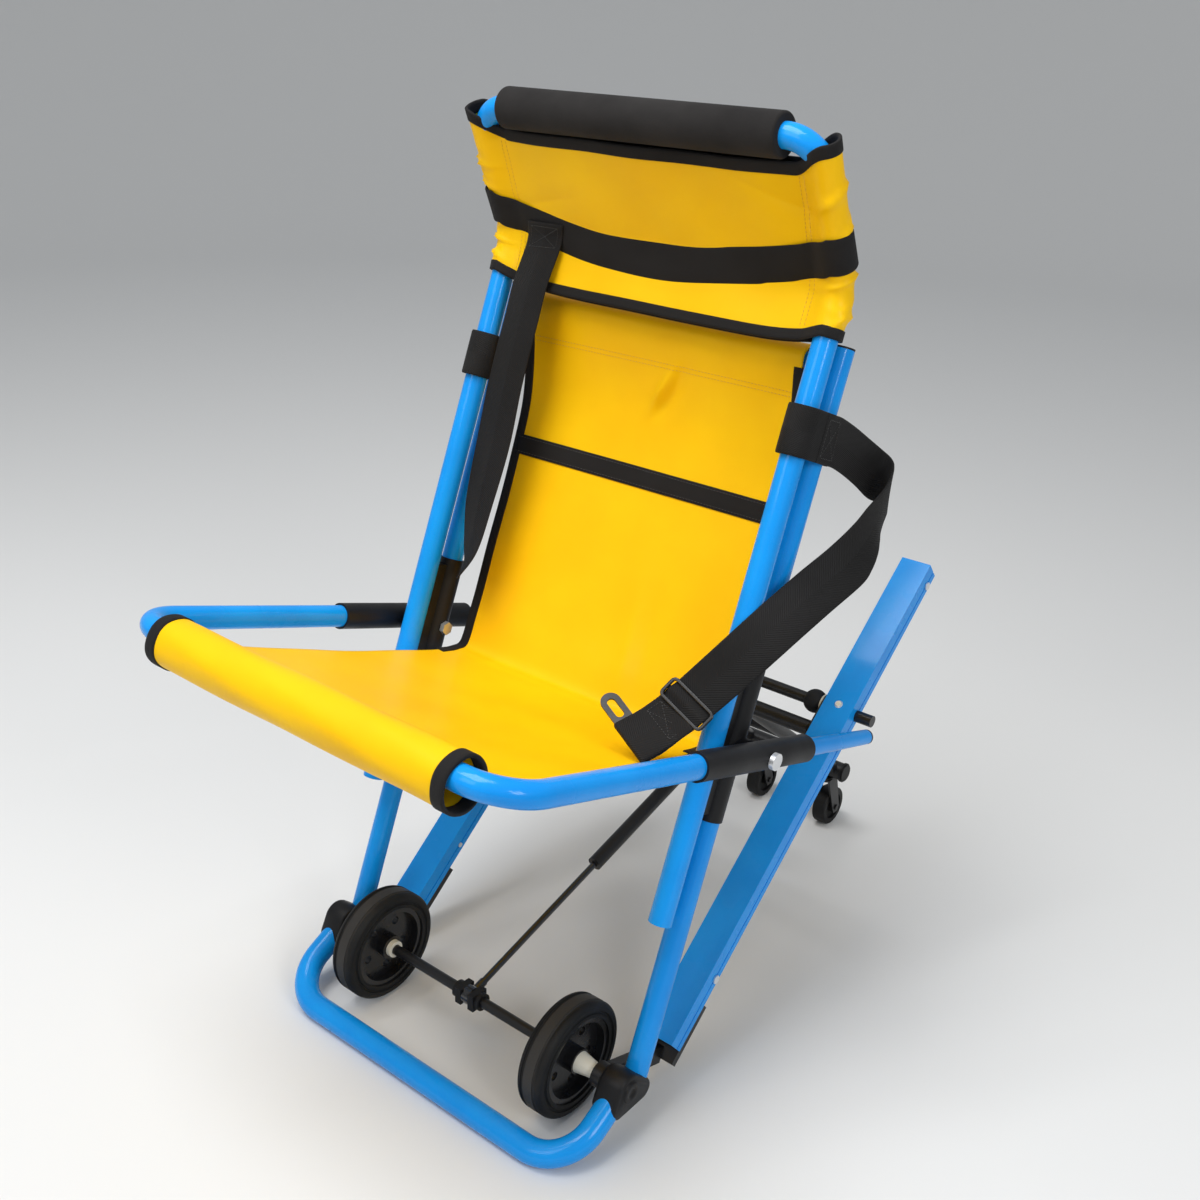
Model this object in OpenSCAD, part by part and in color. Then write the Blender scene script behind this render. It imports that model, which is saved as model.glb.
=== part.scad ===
// Folding stair chair: a tube frame with a slung seat, a pair of belt tracks
// behind it, a swing-down rear stand on castors and two front wheels.
// +Z is up, +X is the sitter's left, and the chair faces -Y.
// Heights count from the floor. Most places are worked out from the front axle.

/* [Frame] */
// Half the distance between the axes of the two main tubes
frame_half_w = 213; // [205:1:270]
// Outside diameter of the main, handle and seat tubes
tube_d = 25; // [20:1:30]
// Wall of the frame tubes
tube_wall = 2; // [1.2:0.1:3]
// Lean of the main tubes from upright
recline = 21.3; // [10:0.1:28]
// Length of a main tube
main_len = 780; // [700:1:900]
// How far the main tubes lie behind the axle
main_back = 27; // [24:0.5:36]
// Diameter of the bar across the top of the main tubes
top_bar_d = 16; // [12:1:20]

/* [Front wheels] */
// Radius of a front wheel
wheel_r = 66; // [55:1:80]
// Width of a front wheel
wheel_w = 32; // [24:1:40]
// Length of the cream cones between the wheels and the tracks' hinges
cone_len = 24.1; // [16:0.1:40]
// Diameter of the front axle
axle_d = 12; // [8:0.5:14]
// Clearance of the front wheels over the floor while the foot bar stands on it
wheel_lift = 1.5; // [1:0.5:4]

/* [Foot bar] */
// Outside diameter of the foot bar
foot_d = 28; // [22:1:32]
// Reach of the foot bar in front of the axle
foot_reach = 86; // [75:1:120]
// Bend radius of the foot bar's corners
foot_bend = 52; // [40:1:70]

/* [Handle] */
// Distance of the handle's legs in front of the main tubes
handle_gap = 38; // [35:0.5:50]
// Height of the legs' open lower ends, along the main tubes from the axle
handle_start = 181; // [150:1:230]
// Height of the forward bend above the tops of the main tubes
bend_over = 54; // [52:1:120]
// Length of the part that leans forward
handle_top_len = 148; // [135:1:200]
// Forward lean of that part from upright
handle_top_lean = 22.4; // [10:0.1:35]
// Outside diameter of the foam grip
grip_d = 43; // [34:1:50]
// Distance of the grip's ends from the handle's bends
grip_gap = 1; // [0:1:40]

/* [Seat] */
// Distance of the seat's side tubes outside the main tubes
seat_gap = 37; // [36:1:60]
// Rise of the seat towards the front
seat_rise = 17.5; // [5:0.5:25]
// Pivot to front bar
seat_reach = 392; // [330:1:450]
// Height of the pivot, along the main tubes from the axle
pivot_s = 372; // [340:1:410]
// Bend radius of the seat's front corners
seat_bend = 48; // [40:1:60]
// Wall of the black seat sleeves
sleeve_wall = 2.5; // [2:0.1:5]
// Length of the tails behind the pivot
tail_len = 237; // [200:1:260]
// Diameter of the pivot bolts
bolt_d = 10; // [8:0.5:12]

/* [Tracks] */
// Distance of a track rail inside the main tube beside it
rail_inset = 16; // [14:1:19]
// Width of a track rail
rail_w = 38; // [34:1:42]
// Depth of a track rail
rail_depth = 25; // [23:1:30]
// Wall of a track rail
rail_wall = 3; // [2:0.5:4]
// Length of a track rail
rail_len = 640; // [560:1:760]
// Lean of the tracks from upright
track_lean = 49.5; // [46:0.5:56]
// Distance of the rails' middle behind the axle, square to the tracks
rail_back = 71; // [68:1:84]
// Width of a track belt
belt_w = 22; // [16:1:26]
// Thickness of a track belt
belt_t = 5; // [4:0.5:6]
// Diameter of the upper cross rod
rod_d = 14; // [10:0.5:14]
// Height of the upper cross rod along the tracks
rod_s = 496; // [480:1:520]
// Reach of the cross rod's free ends past the main tubes
rod_over = 24; // [12:1:25]

/* [Stand] */
// Height of the stand's pivot along the tracks
stand_s = 461; // [400:1:465]
// Horizontal reach of the stand behind its pivot
stand_reach = 267; // [220:1:320]
// Diameter of the stand's pivot rod
stand_rod_d = 11; // [8:0.5:12]
// Diameter of the stand's hub and legs
stand_d = 19; // [17:1:22]
// Distance of a leg from the middle of the chair
stand_leg_x = 70; // [60:1:75]
// Diameter of the stand's crossbar
crossbar_d = 25; // [20:1:28]
// Half the length of the crossbar
crossbar_half = 84; // [80:1:95]

/* [Castors] */
// Radius of a castor wheel
castor_r = 28; // [22:1:32]
// Width of a castor wheel
castor_w = 20; // [16:1:24]
// Trail of a castor wheel behind its stem
castor_trail = 16; // [10:1:22]
// Distance of a castor from the middle of the chair
castor_x = 57; // [52:1:66]
// Height of the crossbar's underside over the floor
castor_height = 86; // [76:1:96]

/* [Gas strut] */
// Diameter of the strut's cylinder
strut_d = 18; // [14:1:20]
// Diameter of the strut's rod
strut_rod_d = 8; // [6:0.5:10]
// Length of rod that shows while the stand is down
strut_show = 224; // [210:1:240]
// Place of the strut's upper pin along the stand's legs
strut_pin_s = 124; // [115:1:132]
// Distance of that pin in front of the stand's legs
strut_pin_t = 17; // [15:1:22]

/* [Fabric] */
// Thickness of the coated fabric as a solid sheet
cloth_t = 3; // [2:0.5:4]
// Distance of the slung fabric's edges inside the main tubes
sling_gap = 31; // [25:1:60]
// How far the slung back bows behind the main tubes
back_bow = 23; // [0:1:24]
// Outside diameter of the fabric roll round the front bar
roll_d = 52; // [46:1:58]
// Width of the shoulder straps
strap_w = 50; // [38:1:50]
// Thickness of the strap webbing
strap_t = 2.5; // [1.5:0.5:3]

/* [Fits] */
// Radial gap of a part that turns or slides on another
run_gap = 0.06; // [0.03:0.01:0.1]
// Gap between parts that pass each other
clear_gap = 0.3; // [0.2:0.1:0.6]

/* [Hidden] */
$fn = 64;

frame_blue = "#1f8fe6";
cloth_yellow = "#ffc20e";
soft_black = "#191919";
zinc = "#c9ccd0";
cream = "#d8d2bf";

// Front axle and main tubes
axle_z = wheel_r + wheel_lift;
tube_r = tube_d / 2;
main_start = 2;
handle_t = main_back - handle_gap;
top_bar_s = main_start + main_len - 17;
sling_half_w = frame_half_w - sling_gap;
back_run = 145;
lug_notch = 9;
plug_rim = 2;

// Corner brackets, hinge eyes and wheel spacers, from the outside in
bracket_in = frame_half_w - tube_r - 3.5;
bracket_out = frame_half_w + tube_r + 2;
bracket_wall = 4;
eye_w = 12;
eye_r = axle_d / 2 + 8;
eye_out = bracket_in - clear_gap;
eye_in = eye_out - eye_w;
wheel_out = eye_in - cone_len - 2 * clear_gap;
wheel_x = wheel_out - wheel_w / 2;
wheel_in = wheel_out - wheel_w;
axle_half = bracket_in + 9;
block_half = 13.5;
strut_eye_half = 5;

// Foot bar: it stands on the floor in front and rises to the brackets
foot_front = [-foot_reach, foot_d / 2];
foot_aim = [4, axle_z - 5];
foot_dir = (foot_aim - foot_front) / norm(foot_aim - foot_front);
foot_end = foot_front + foot_dir * (norm(foot_aim - foot_front) - axle_d / 2 - 16);

// Handle: legs beside the main tubes, then a forward bend up to the grip
handle_bend_s = main_start + main_len + bend_over;
handle_r = 60;
handle_turn = recline + handle_top_lean;
handle_cut = handle_r * tan(handle_turn / 2);
handle_inside = handle_r * (1 / cos(handle_turn / 2) - 1);
grip_bend = 40;
grip_len = 2 * (frame_half_w - grip_bend - grip_gap);
guide_drop = 90;
guide_s = main_start + main_len - guide_drop;
guide_h = 36;
guide_wall = 3;

// Pivot sleeves on the main tubes and the seat's turning parts
pivot_h = 163;
pivot_wall = 2;
pivot_r = tube_r + pivot_wall;
seat_half_w = frame_half_w + seat_gap;
sleeve_d = tube_d + 2 * sleeve_wall;
boss_r = bolt_d / 2 + 6;
pivot = at(recline, pivot_s, main_back);
sleeve_front = 120;
sleeve_back = 89;
tail_d = tube_d - 5;
tail_end_d = tail_d - 3;
tail_socket = 20;
bolt_head_r = bolt_d / 2 + 4;
bolt_head_t = 5;

// Seat fabric: how far its roll hangs off the front bar, and the sheet behind it
roll_hang = (roll_d / 2 - cloth_t - tube_r - run_gap) / sqrt(2);
seat_start = -22;
seat_drop = 20;
seat_run = seat_reach - roll_hang - seat_start;
seat_dip = atan2(seat_drop - roll_hang, seat_run);

// Tracks: a channel open to the rear, with a belt loop round a pulley at each end
rail_x = frame_half_w - rail_inset;
rod_half = frame_half_w + rod_over;
rail_start = 64;
rail_end = rail_start + rail_len;
rail_front = rail_back - rail_depth / 2;
belt_clear = 0.6;
pulley_r = (rail_depth - rail_wall) / 2 - belt_t + 3;
loop_r = pulley_r + belt_t;
loop_t = rail_front + rail_wall + belt_clear + loop_r;
lower_pulley_s = rail_start + 86;
upper_pulley_s = rail_end - loop_r - 6;
pulley_pin_d = 6;
groove_count = 3;
groove_depth = 1.2;
pad_t = 9;
foot_arm_r = 10;

// Stand
stand_pivot = at(track_lean, stand_s, loop_t);
crossbar = [0, stand_pivot[1] + stand_reach, castor_height + crossbar_d / 2];
stand_lean = 90 + atan2(stand_pivot[2] - crossbar[2], stand_reach);
stand_len = norm(crossbar - stand_pivot);
stand_half = rail_x - rail_w / 2 - 7;
ear_t = 3;
ear_r = 9;
pin_d = 8;
tie_d = 16;
tie_s = strut_pin_s + 19;
stem_d = 12;
stem_in = crossbar_d / 2 - 3.5;

// Strut, from the axle to its upper pin
strut_pin = stand_pivot + lean_dir(stand_lean) * strut_pin_s + square_dir(stand_lean) * strut_pin_t;
strut_span = strut_pin - [0, 0, axle_z];
strut_lean = atan2(strut_span[1], strut_span[2]);
strut_len = norm(strut_span);
strut_wall = 1.5;
strut_neck = 26;
strut_rod_inside = 50;

// Straps: each row is a point and the way the webbing's width points there
loop_wall_x = frame_half_w + tube_r + guide_wall + run_gap + strap_t / 2;
strap_left = [
  [on_back(loop_wall_x, 4, guide_s), lean_dir(recline)],
  [on_back(loop_wall_x + 0.6, 18, guide_s), lean_dir(recline)],
  [on_back(loop_wall_x + 8, 40, guide_s - 2), [0.05, 0.36, 0.93]],
  [on_back(loop_wall_x + 13, 70, guide_s - 6), [0.25, 0.45, 0.85]],
  [on_back(loop_wall_x + 15, 98, guide_s - 26), [0.6, 0.6, 0.5]],
  [on_back(loop_wall_x + 15, 104, guide_s - 66), [0.8, 0.6, 0.05]],
  [on_back(loop_wall_x + 21, 60, guide_s - 130), [0.6, 0.3, -0.7]],
  [on_seat(seat_half_w - 8, 114, 58), [0.5, 0.05, -0.85]],
  [on_seat(seat_half_w - 33, 74, 62), [0.75, -0.05, -0.66]],
  [on_seat(seat_half_w - 58, 36, 66), [0.87, -0.15, -0.47]],
  [on_seat(seat_half_w - 72, 12, 90), [0.88, -0.2, -0.43]],
  [on_seat(seat_half_w - 82, -4, 112), [0.88, -0.2, -0.43]]
];
strap_in_x = -(frame_half_w - tube_r - guide_wall - run_gap - strap_t / 2 - strap_w / 2);
strap_right = [
  [hoop_front(strap_in_x + 22, 8), [1, 0, 0]],
  [hoop_front(strap_in_x + 16, -30), [1, 0, 0]],
  [on_back(strap_in_x + 6, -36, guide_s + 40), [1, 0, 0.05]],
  [on_back(strap_in_x, -10, guide_s - 22), [1, 0, 0]],
  [on_back(strap_in_x, -2, guide_s - 92), [1, 0, 0]],
  [on_back(strap_in_x, -4, guide_s - 162), [1, -0.2, 0]],
  [on_back(strap_in_x + 2, -12, guide_s - 212), [0.9, -0.5, 0]],
  [on_back(strap_in_x - 4, -26, guide_s - 248), [0.5, -0.8, 0.1]]
];

// Tongue in the end of the left strap: it lies along the strap's end edge
strap_end = strap_left[len(strap_left) - 1];
strap_run = unit(strap_end[0] - strap_left[len(strap_left) - 2][0]);
tongue_dir = -unit(strap_end[1] - strap_run * (strap_run * strap_end[1]));
tongue_pitch = -asin(tongue_dir[2]);
tongue_yaw = atan2(tongue_dir[1], tongue_dir[0]);
tongue_roll = atan2(
  strap_run * [cos(tongue_yaw) * sin(tongue_pitch), sin(tongue_yaw) * sin(tongue_pitch), cos(tongue_pitch)],
  strap_run * [-sin(tongue_yaw), cos(tongue_yaw), 0]);
tongue_t = 2.5;
tongue_w = 21;
tongue_out = 33;

// Overall box, which puts the origin under its middle
y_front = pivot[1] - (seat_reach - roll_hang) * cos(seat_rise) - roll_hang * sin(seat_rise) - roll_d / 2;
y_rear = crossbar[1] + castor_trail + castor_r;
y_shift = -(y_front + y_rear) / 2;

function lean_dir(a) = [0, sin(a), cos(a)];
function square_dir(a) = [0, cos(a), -sin(a)];
function at(a, s, t) = [0, 0, axle_z] + lean_dir(a) * s + square_dir(a) * t;
function unit(v) = v / norm(v);

// Places on the back, on the seat and on the head restraint's front
function on_back(x, t, s) = at(recline, s, t) + [x, 0, 0];
function on_seat(x, up, fwd) = pivot + [x, up * sin(seat_rise) - fwd * cos(seat_rise),
  up * cos(seat_rise) + fwd * sin(seat_rise)];
function seat_top(fwd) = -seat_drop + (fwd - seat_start) * tan(seat_dip) + cloth_t / 2 / cos(seat_dip);
function hoop_front(x, along) =
  let (lean_a = along > 0 ? -handle_top_lean : recline,
    off = tube_r + 0.5 + cloth_t + strap_t + handle_inside + 5 * clear_gap)
  at(recline, handle_bend_s, handle_t) + lean_dir(lean_a) * along - square_dir(lean_a) * off + [x, 0, 0];

// Axes that follow a leaning part: Y is square to it and Z runs along it
module lean(a) { translate([0, 0, axle_z]) rotate([-a, 0, 0]) children(); }
module seat_axes() { translate(pivot) rotate([90 - seat_rise, 0, 0]) children(); }
module stand_axes() { translate(stand_pivot) rotate([-stand_lean, 0, 0]) children(); }
module place() { translate([0, y_shift, 0]) children(); }
module on_side(side) { mirror([side < 0 ? 1 : 0, 0, 0]) children(); }
module both() { for (side = [1, -1]) on_side(side) children(); }
module along_x(x0, x1) { translate([x0, 0, 0]) rotate([0, 90, 0]) linear_extrude(x1 - x0) children(); }

module round_x(x0, x1, r) { translate([x0, 0, 0]) rotate([0, 90, 0]) cylinder(h = x1 - x0, r = r); }

// A flat outline in (along, square) places, given thickness across the chair
module side_plate(x0, x1) {
  translate([x0, 0, 0]) rotate([90, 0, 90]) linear_extrude(x1 - x0) children();
}

// Straight rod from one point to another
module strut_between(p, q, d) {
  v = q - p;
  translate(p) rotate([0, acos(v[2] / norm(v)), atan2(v[1], v[0])]) cylinder(h = norm(v), d = d);
}

// Round bar along a path with one bend radius for each inner corner
module bar_path(path, d, bends) {
  last = len(path) - 1;
  dirs = [for (i = [0 : last - 1]) unit(path[i + 1] - path[i])];
  turns = [for (i = [1 : last - 1]) acos(dirs[i - 1] * dirs[i])];
  cut = [for (i = [0 : last]) i == 0 || i == last ? 0 : bends[i - 1] * tan(turns[i - 1] / 2)];
  for (i = [0 : last - 1])
    strut_between(path[i] + dirs[i] * cut[i], path[i + 1] - dirs[i] * cut[i + 1], d);
  for (i = [1 : last - 1]) {
    a = dirs[i - 1];
    side = unit(dirs[i] - a * (a * dirs[i]));
    centre = path[i] - a * cut[i] + side * bends[i - 1];
    up = cross(-side, a);
    multmatrix([
      [-side[0], a[0], up[0], centre[0]],
      [-side[1], a[1], up[1], centre[1]],
      [-side[2], a[2], up[2], centre[2]],
      [0, 0, 0, 1]
    ]) rotate_extrude(angle = turns[i - 1]) translate([bends[i - 1], 0]) circle(d = d);
  }
}

// The same bar as a tube with open ends
module tube_path(path, d, wall, bends) {
  last = len(path) - 1;
  first_dir = unit(path[0] - path[1]);
  last_dir = unit(path[last] - path[last - 1]);
  bore = [for (i = [0 : last])
    i == 0 ? path[0] + first_dir : i == last ? path[last] + last_dir : path[i]];
  difference() {
    bar_path(path, d, bends);
    bar_path(bore, d - 2 * wall, bends);
  }
}

// Flat outline with round ends, between two centres on the Y axis
module stadium(y0, y1, r) {
  translate([0, y0]) circle(r);
  translate([0, y1]) circle(r);
  translate([-r, y0]) square([2 * r, y1 - y0]);
}

// Flat ribbon through rows of point and width direction
module ribbon(rows, w, t) {
  last = len(rows) - 1;
  way = [for (i = [0 : last]) unit(rows[min(i + 1, last)][0] - rows[max(i - 1, 0)][0])];
  across = [for (i = [0 : last]) unit(rows[i][1] - way[i] * (way[i] * rows[i][1]))];
  face = [for (i = [0 : last]) cross(way[i], across[i])];
  points = [for (i = [0 : last], c = [[-1, -1], [1, -1], [1, 1], [-1, 1]])
    rows[i][0] + across[i] * c[0] * w / 2 + face[i] * c[1] * t / 2];
  sides = [for (i = [0 : last - 1], k = [0 : 3])
    [4 * i + k, 4 * i + 4 + k, 4 * i + 4 + (k + 1) % 4, 4 * i + (k + 1) % 4]];
  polyhedron(points, concat([[0, 1, 2, 3]], sides,
    [[4 * last + 3, 4 * last + 2, 4 * last + 1, 4 * last]]));
}

// Main tube with a notched lug at its top and a cross hole for the seat's bolt
module main_tube(side) {
  color(frame_blue) place() lean(recline) on_side(side) difference() {
    translate([frame_half_w, main_back, main_start]) cylinder(h = main_len, d = tube_d);
    translate([frame_half_w, main_back, main_start - 1])
      cylinder(h = main_len + 2, d = tube_d - 2 * tube_wall);
    translate([frame_half_w - lug_notch / 2, main_back, main_start + main_len - 2 * lug_notch])
      cube([lug_notch, tube_d, lug_notch]);
    translate([0, main_back, pivot_s])
      round_x(frame_half_w - tube_d, frame_half_w + tube_d, bolt_d / 2 + run_gap);
  }
}

module main_tube_plugs() {
  color(soft_black) place() lean(recline) both() {
    translate([frame_half_w, main_back, main_start + main_len]) {
      cylinder(h = plug_rim, d = tube_d);
      translate([0, 0, -lug_notch + 1]) cylinder(h = lug_notch, r = tube_r - tube_wall - run_gap);
    }
  }
}

// Bar between the main tubes, coped to sit against them
module top_cross_bar() {
  color(frame_blue) place() lean(recline) difference() {
    translate([0, main_back, top_bar_s]) round_x(-frame_half_w, frame_half_w, top_bar_d / 2);
    both() translate([frame_half_w, main_back, 0])
      cylinder(h = main_start + main_len, r = tube_r + run_gap);
  }
}

// Foot bar: a flat hoop of tube, tilted up to the brackets
module foot_bar() {
  leg = norm(foot_end - foot_front);
  color(frame_blue) place() translate([0, foot_front[0], foot_front[1]])
    rotate([atan2(foot_dir[1], foot_dir[0]) - 90, 0, 0]) tube_path([
      [frame_half_w, 0, leg], [frame_half_w, 0, 0], [-frame_half_w, 0, 0], [-frame_half_w, 0, leg]
    ], foot_d, tube_wall, [foot_bend, foot_bend]);
}

// Moulded corner: sockets for the main tube and the foot bar, and the axle's end
module corner_bracket(side) {
  socket_end = foot_end - foot_dir * 24;
  color(soft_black) place() on_side(side) difference() {
    union() {
      translate([0, 0, axle_z]) round_x(bracket_in, bracket_out, foot_d / 2 + 8);
      lean(recline) translate([frame_half_w, main_back, main_start - 8])
        cylinder(h = 36, r = tube_r + bracket_wall);
      strut_between([frame_half_w, socket_end[0], socket_end[1]],
        [frame_half_w, foot_aim[0], foot_aim[1]], foot_d + 2 * 2.5);
    }
    lean(recline) translate([frame_half_w, main_back, main_start])
      cylinder(h = 60, r = tube_r + run_gap);
    strut_between([frame_half_w, socket_end[0] - foot_dir[0] * 30, socket_end[1] - foot_dir[1] * 30],
      [frame_half_w, foot_end[0], foot_end[1]], foot_d + 2 * run_gap);
    translate([0, 0, axle_z]) round_x(0, axle_half, axle_d / 2 + run_gap);
    translate([bracket_in - 50, -200, 0]) cube([50, 400, 300]);
  }
}

// Sleeve on the main tube with a boss for the seat and a cradle for the handle's leg
module pivot_sleeve(side) {
  boss_out = seat_half_w - sleeve_d / 2 - clear_gap;
  low = pivot_s - pivot_h / 2;
  color(soft_black) place() lean(recline) on_side(side) difference() {
    union() {
      translate([frame_half_w, main_back, low]) cylinder(h = pivot_h, r = pivot_r);
      translate([0, main_back, pivot_s]) round_x(frame_half_w, boss_out, boss_r);
      translate([frame_half_w - tube_r / 2, handle_t, low + 8])
        cube([tube_r, handle_gap, pivot_h - 16]);
    }
    translate([frame_half_w, main_back, low - 1]) cylinder(h = pivot_h + 2, r = tube_r + run_gap);
    translate([frame_half_w, handle_t, low - 1]) cylinder(h = pivot_h + 2, r = tube_r + run_gap);
    translate([0, main_back, pivot_s])
      round_x(frame_half_w - tube_d, seat_half_w, bolt_d / 2 + run_gap);
  }
}

// Twin ring that holds a handle leg beside its main tube
module leg_guide(side) {
  color(soft_black) place() lean(recline) on_side(side) difference() {
    translate([frame_half_w, 0, guide_s - guide_h / 2]) linear_extrude(guide_h)
      stadium(handle_t, main_back, tube_r + guide_wall);
    for (t = [handle_t, main_back]) translate([frame_half_w, t, guide_s - guide_h])
      cylinder(h = 2 * guide_h, r = tube_r + run_gap);
  }
}

// Pivot bolt: domed head outside the seat's sleeve, nut inside the main tube
module seat_pivot_bolts() {
  outside = seat_half_w + sleeve_d / 2 + clear_gap;
  inside = frame_half_w - pivot_r - clear_gap;
  color(zinc) place() lean(recline) both() translate([0, main_back, pivot_s]) {
    round_x(inside - 6, outside, bolt_d / 2);
    round_x(outside, outside + bolt_head_t, bolt_head_r);
    translate([inside - 6, 0, 0]) rotate([0, 90, 0]) cylinder(h = 6, r = bolt_head_r - 1, $fn = 6);
  }
}

module front_axle() {
  color(soft_black) place() translate([0, 0, axle_z]) round_x(-axle_half, axle_half, axle_d / 2);
}

// Two cheeks on the axle that keep the strut's eye in the middle
module axle_block() {
  color(soft_black) place() translate([0, 0, axle_z]) both() difference() {
    union() {
      translate([strut_eye_half + clear_gap, -11, -10]) cube([block_half - strut_eye_half, 22, 20]);
      round_x(strut_eye_half + clear_gap, block_half + 6, axle_d / 2 + 4);
    }
    round_x(0, block_half + 10, axle_d / 2 + run_gap);
  }
}

// Spacers beside the wheels: a cone outside and a short bush inside
module axle_cones() {
  color(cream) place() translate([0, 0, axle_z]) both() difference() {
    union() {
      translate([wheel_out + clear_gap, 0, 0]) rotate([0, 90, 0])
        cylinder(h = eye_in - wheel_out - 2 * clear_gap, r1 = axle_d / 2 + 6, r2 = axle_d / 2 + 2);
      round_x(wheel_in - clear_gap - 6, wheel_in - clear_gap, axle_d / 2 + 4);
    }
    round_x(0, axle_half + 10, axle_d / 2 + run_gap);
  }
}

hub_r = wheel_r - 17;
// Tyre: a rounded tread with a groove near each shoulder
module front_tyre(side) {
  half = wheel_w / 2;
  shoulder = 6;
  groove = 2;
  color("#232323") place() translate([side * wheel_x, 0, axle_z]) rotate([0, 90, 0]) rotate_extrude()
    difference() {
      union() {
        translate([hub_r, -half]) square([wheel_r - hub_r - shoulder, wheel_w]);
        translate([hub_r, -half + shoulder]) square([wheel_r - hub_r, wheel_w - 2 * shoulder]);
        for (v = [-1, 1]) translate([wheel_r - shoulder, v * (half - shoulder)]) circle(shoulder);
      }
      for (v = [-1, 1]) translate([wheel_r, v * (half - shoulder - groove)]) circle(groove);
      for (v = [-1, 1]) translate([hub_r + 6, v * half]) circle(groove);
    }
}

// Hub: a rim, a dished web with round windows and a bored boss
module front_hub(side) {
  half = wheel_w / 2;
  rim_t = 6;
  web_t = 8;
  boss = axle_d / 2 + 8;
  window_r = 5;
  window_ring = (boss + hub_r - rim_t) / 2;
  color("#1b1b1b") place() translate([side * wheel_x, 0, axle_z]) rotate([0, 90, 0]) difference() {
    rotate_extrude() {
      translate([hub_r - rim_t - run_gap, -half + 2]) square([rim_t, wheel_w - 4]);
      translate([axle_d / 2 + run_gap, -web_t / 2]) square([hub_r - axle_d / 2 - rim_t, web_t]);
      translate([axle_d / 2 + run_gap, -half]) square([boss - axle_d / 2, wheel_w]);
    }
    for (k = [0 : 4]) rotate([0, 0, 72 * k]) translate([window_ring, 0, -web_t])
      cylinder(h = 2 * web_t, r = window_r);
  }
}

// Axes of the handle's forward-leaning part, with the origin at the top of its bends
module hoop_axes() {
  lean(recline) translate([0, handle_t - handle_r, handle_bend_s - handle_cut])
    rotate([handle_turn, 0, 0]) translate([0, handle_r, 0]) children();
}

// Handle legs: open at the bottom and bent forward at the top
module handle_leg_bar(d, extra) {
  lean(recline) translate([frame_half_w, handle_t, handle_bend_s - handle_cut]) {
    low = handle_bend_s - handle_cut - handle_start + extra;
    translate([0, 0, -low]) cylinder(h = low, d = d);
    translate([0, -handle_r, 0]) rotate([90, 0, 90]) rotate_extrude(angle = handle_turn)
      translate([handle_r, 0]) circle(d = d);
  }
}

module handle_legs() {
  color(frame_blue) place() both() difference() {
    handle_leg_bar(tube_d, 0);
    handle_leg_bar(tube_d - 2 * tube_wall, 1);
  }
}

// Handle hoop: welded to the legs and carrying the grip
module handle_hoop() {
  up = handle_top_len - handle_cut;
  w = frame_half_w;
  color(frame_blue) place() hoop_axes()
    tube_path([[w, 0, 0], [w, 0, up], [-w, 0, up], [-w, 0, 0]], tube_d, tube_wall, [grip_bend, grip_bend]);
}

module grip_foam() {
  end_round = 3;
  color("#202020") place() hoop_axes()
    translate([0, 0, handle_top_len - handle_cut]) difference() {
    union() {
      round_x(-grip_len / 2 + end_round, grip_len / 2 - end_round, grip_d / 2);
      round_x(-grip_len / 2, grip_len / 2, grip_d / 2 - end_round);
      both() translate([grip_len / 2 - end_round, 0, 0]) rotate([0, 90, 0]) rotate_extrude()
        translate([grip_d / 2 - end_round, 0]) circle(end_round);
    }
    round_x(-grip_len, grip_len, tube_r + run_gap);
  }
}

// Head restraint: an open fabric sleeve that follows the handle's bend
module head_restraint() {
  below = 48;
  above = handle_top_len - grip_d / 2 - 3;
  inner = tube_r + 0.5;
  bend = at(recline, handle_bend_s, handle_t);
  centre = bend - lean_dir(recline) * handle_cut - square_dir(recline) * handle_r;
  steps = 8;
  function edge(off, more) = concat(
    [bend - lean_dir(recline) * (below + more) + square_dir(recline) * off],
    [for (k = [0 : steps]) centre + square_dir(recline - handle_turn * k / steps) * (handle_r + off)],
    [bend + lean_dir(-handle_top_lean) * (above + more) + square_dir(-handle_top_lean) * off]
  );
  module band(half_t, half_w, more) {
    front = edge(-half_t, more);
    back = edge(half_t, more);
    last = len(back) - 1;
    outline = concat(front, [for (i = [0 : last]) back[last - i]]);
    side_plate(-half_w, half_w) polygon([for (p = outline) [p[1], p[2]]]);
  }
  color(cloth_yellow) place() difference() {
    band(inner + cloth_t, frame_half_w + inner + cloth_t, 0);
    band(inner, frame_half_w + inner, 1);
  }
}

// Slung back: a sheet that bows out behind the main tubes, looped over the top bar
function back_t(s) = main_back + back_bow * (1 - cos(180 * min(1, (top_bar_s - s) / back_run))) / 2;
module back_panel() {
  loop = top_bar_d / 2 + run_gap;
  low = pivot_s - 12;
  steps = 24;
  rows = [for (k = [0 : steps]) top_bar_s + (low - top_bar_s) * k / steps];
  color(cloth_yellow) place() lean(recline) difference() {
    union() {
      side_plate(-sling_half_w, sling_half_w) polygon(concat(
        [for (k = [0 : steps]) [back_t(rows[k]) - cloth_t / 2, rows[k]]],
        [for (k = [steps : -1 : 0]) [back_t(rows[k]) + cloth_t / 2, rows[k]]]));
      translate([0, main_back, top_bar_s]) round_x(-sling_half_w, sling_half_w, loop + cloth_t);
    }
    translate([0, main_back, top_bar_s]) round_x(-sling_half_w - 1, sling_half_w + 1, loop);
  }
}

// Loop of webbing round a handle leg and its main tube
module strap_loop(side) {
  inner = tube_r + guide_wall + run_gap;
  lean(recline) on_side(side) translate([frame_half_w, 0, guide_s - strap_w / 2]) difference() {
    linear_extrude(strap_w) stadium(handle_t, main_back, inner + strap_t);
    translate([0, 0, -1]) linear_extrude(strap_w + 2) stadium(handle_t, main_back, inner);
  }
}

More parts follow.
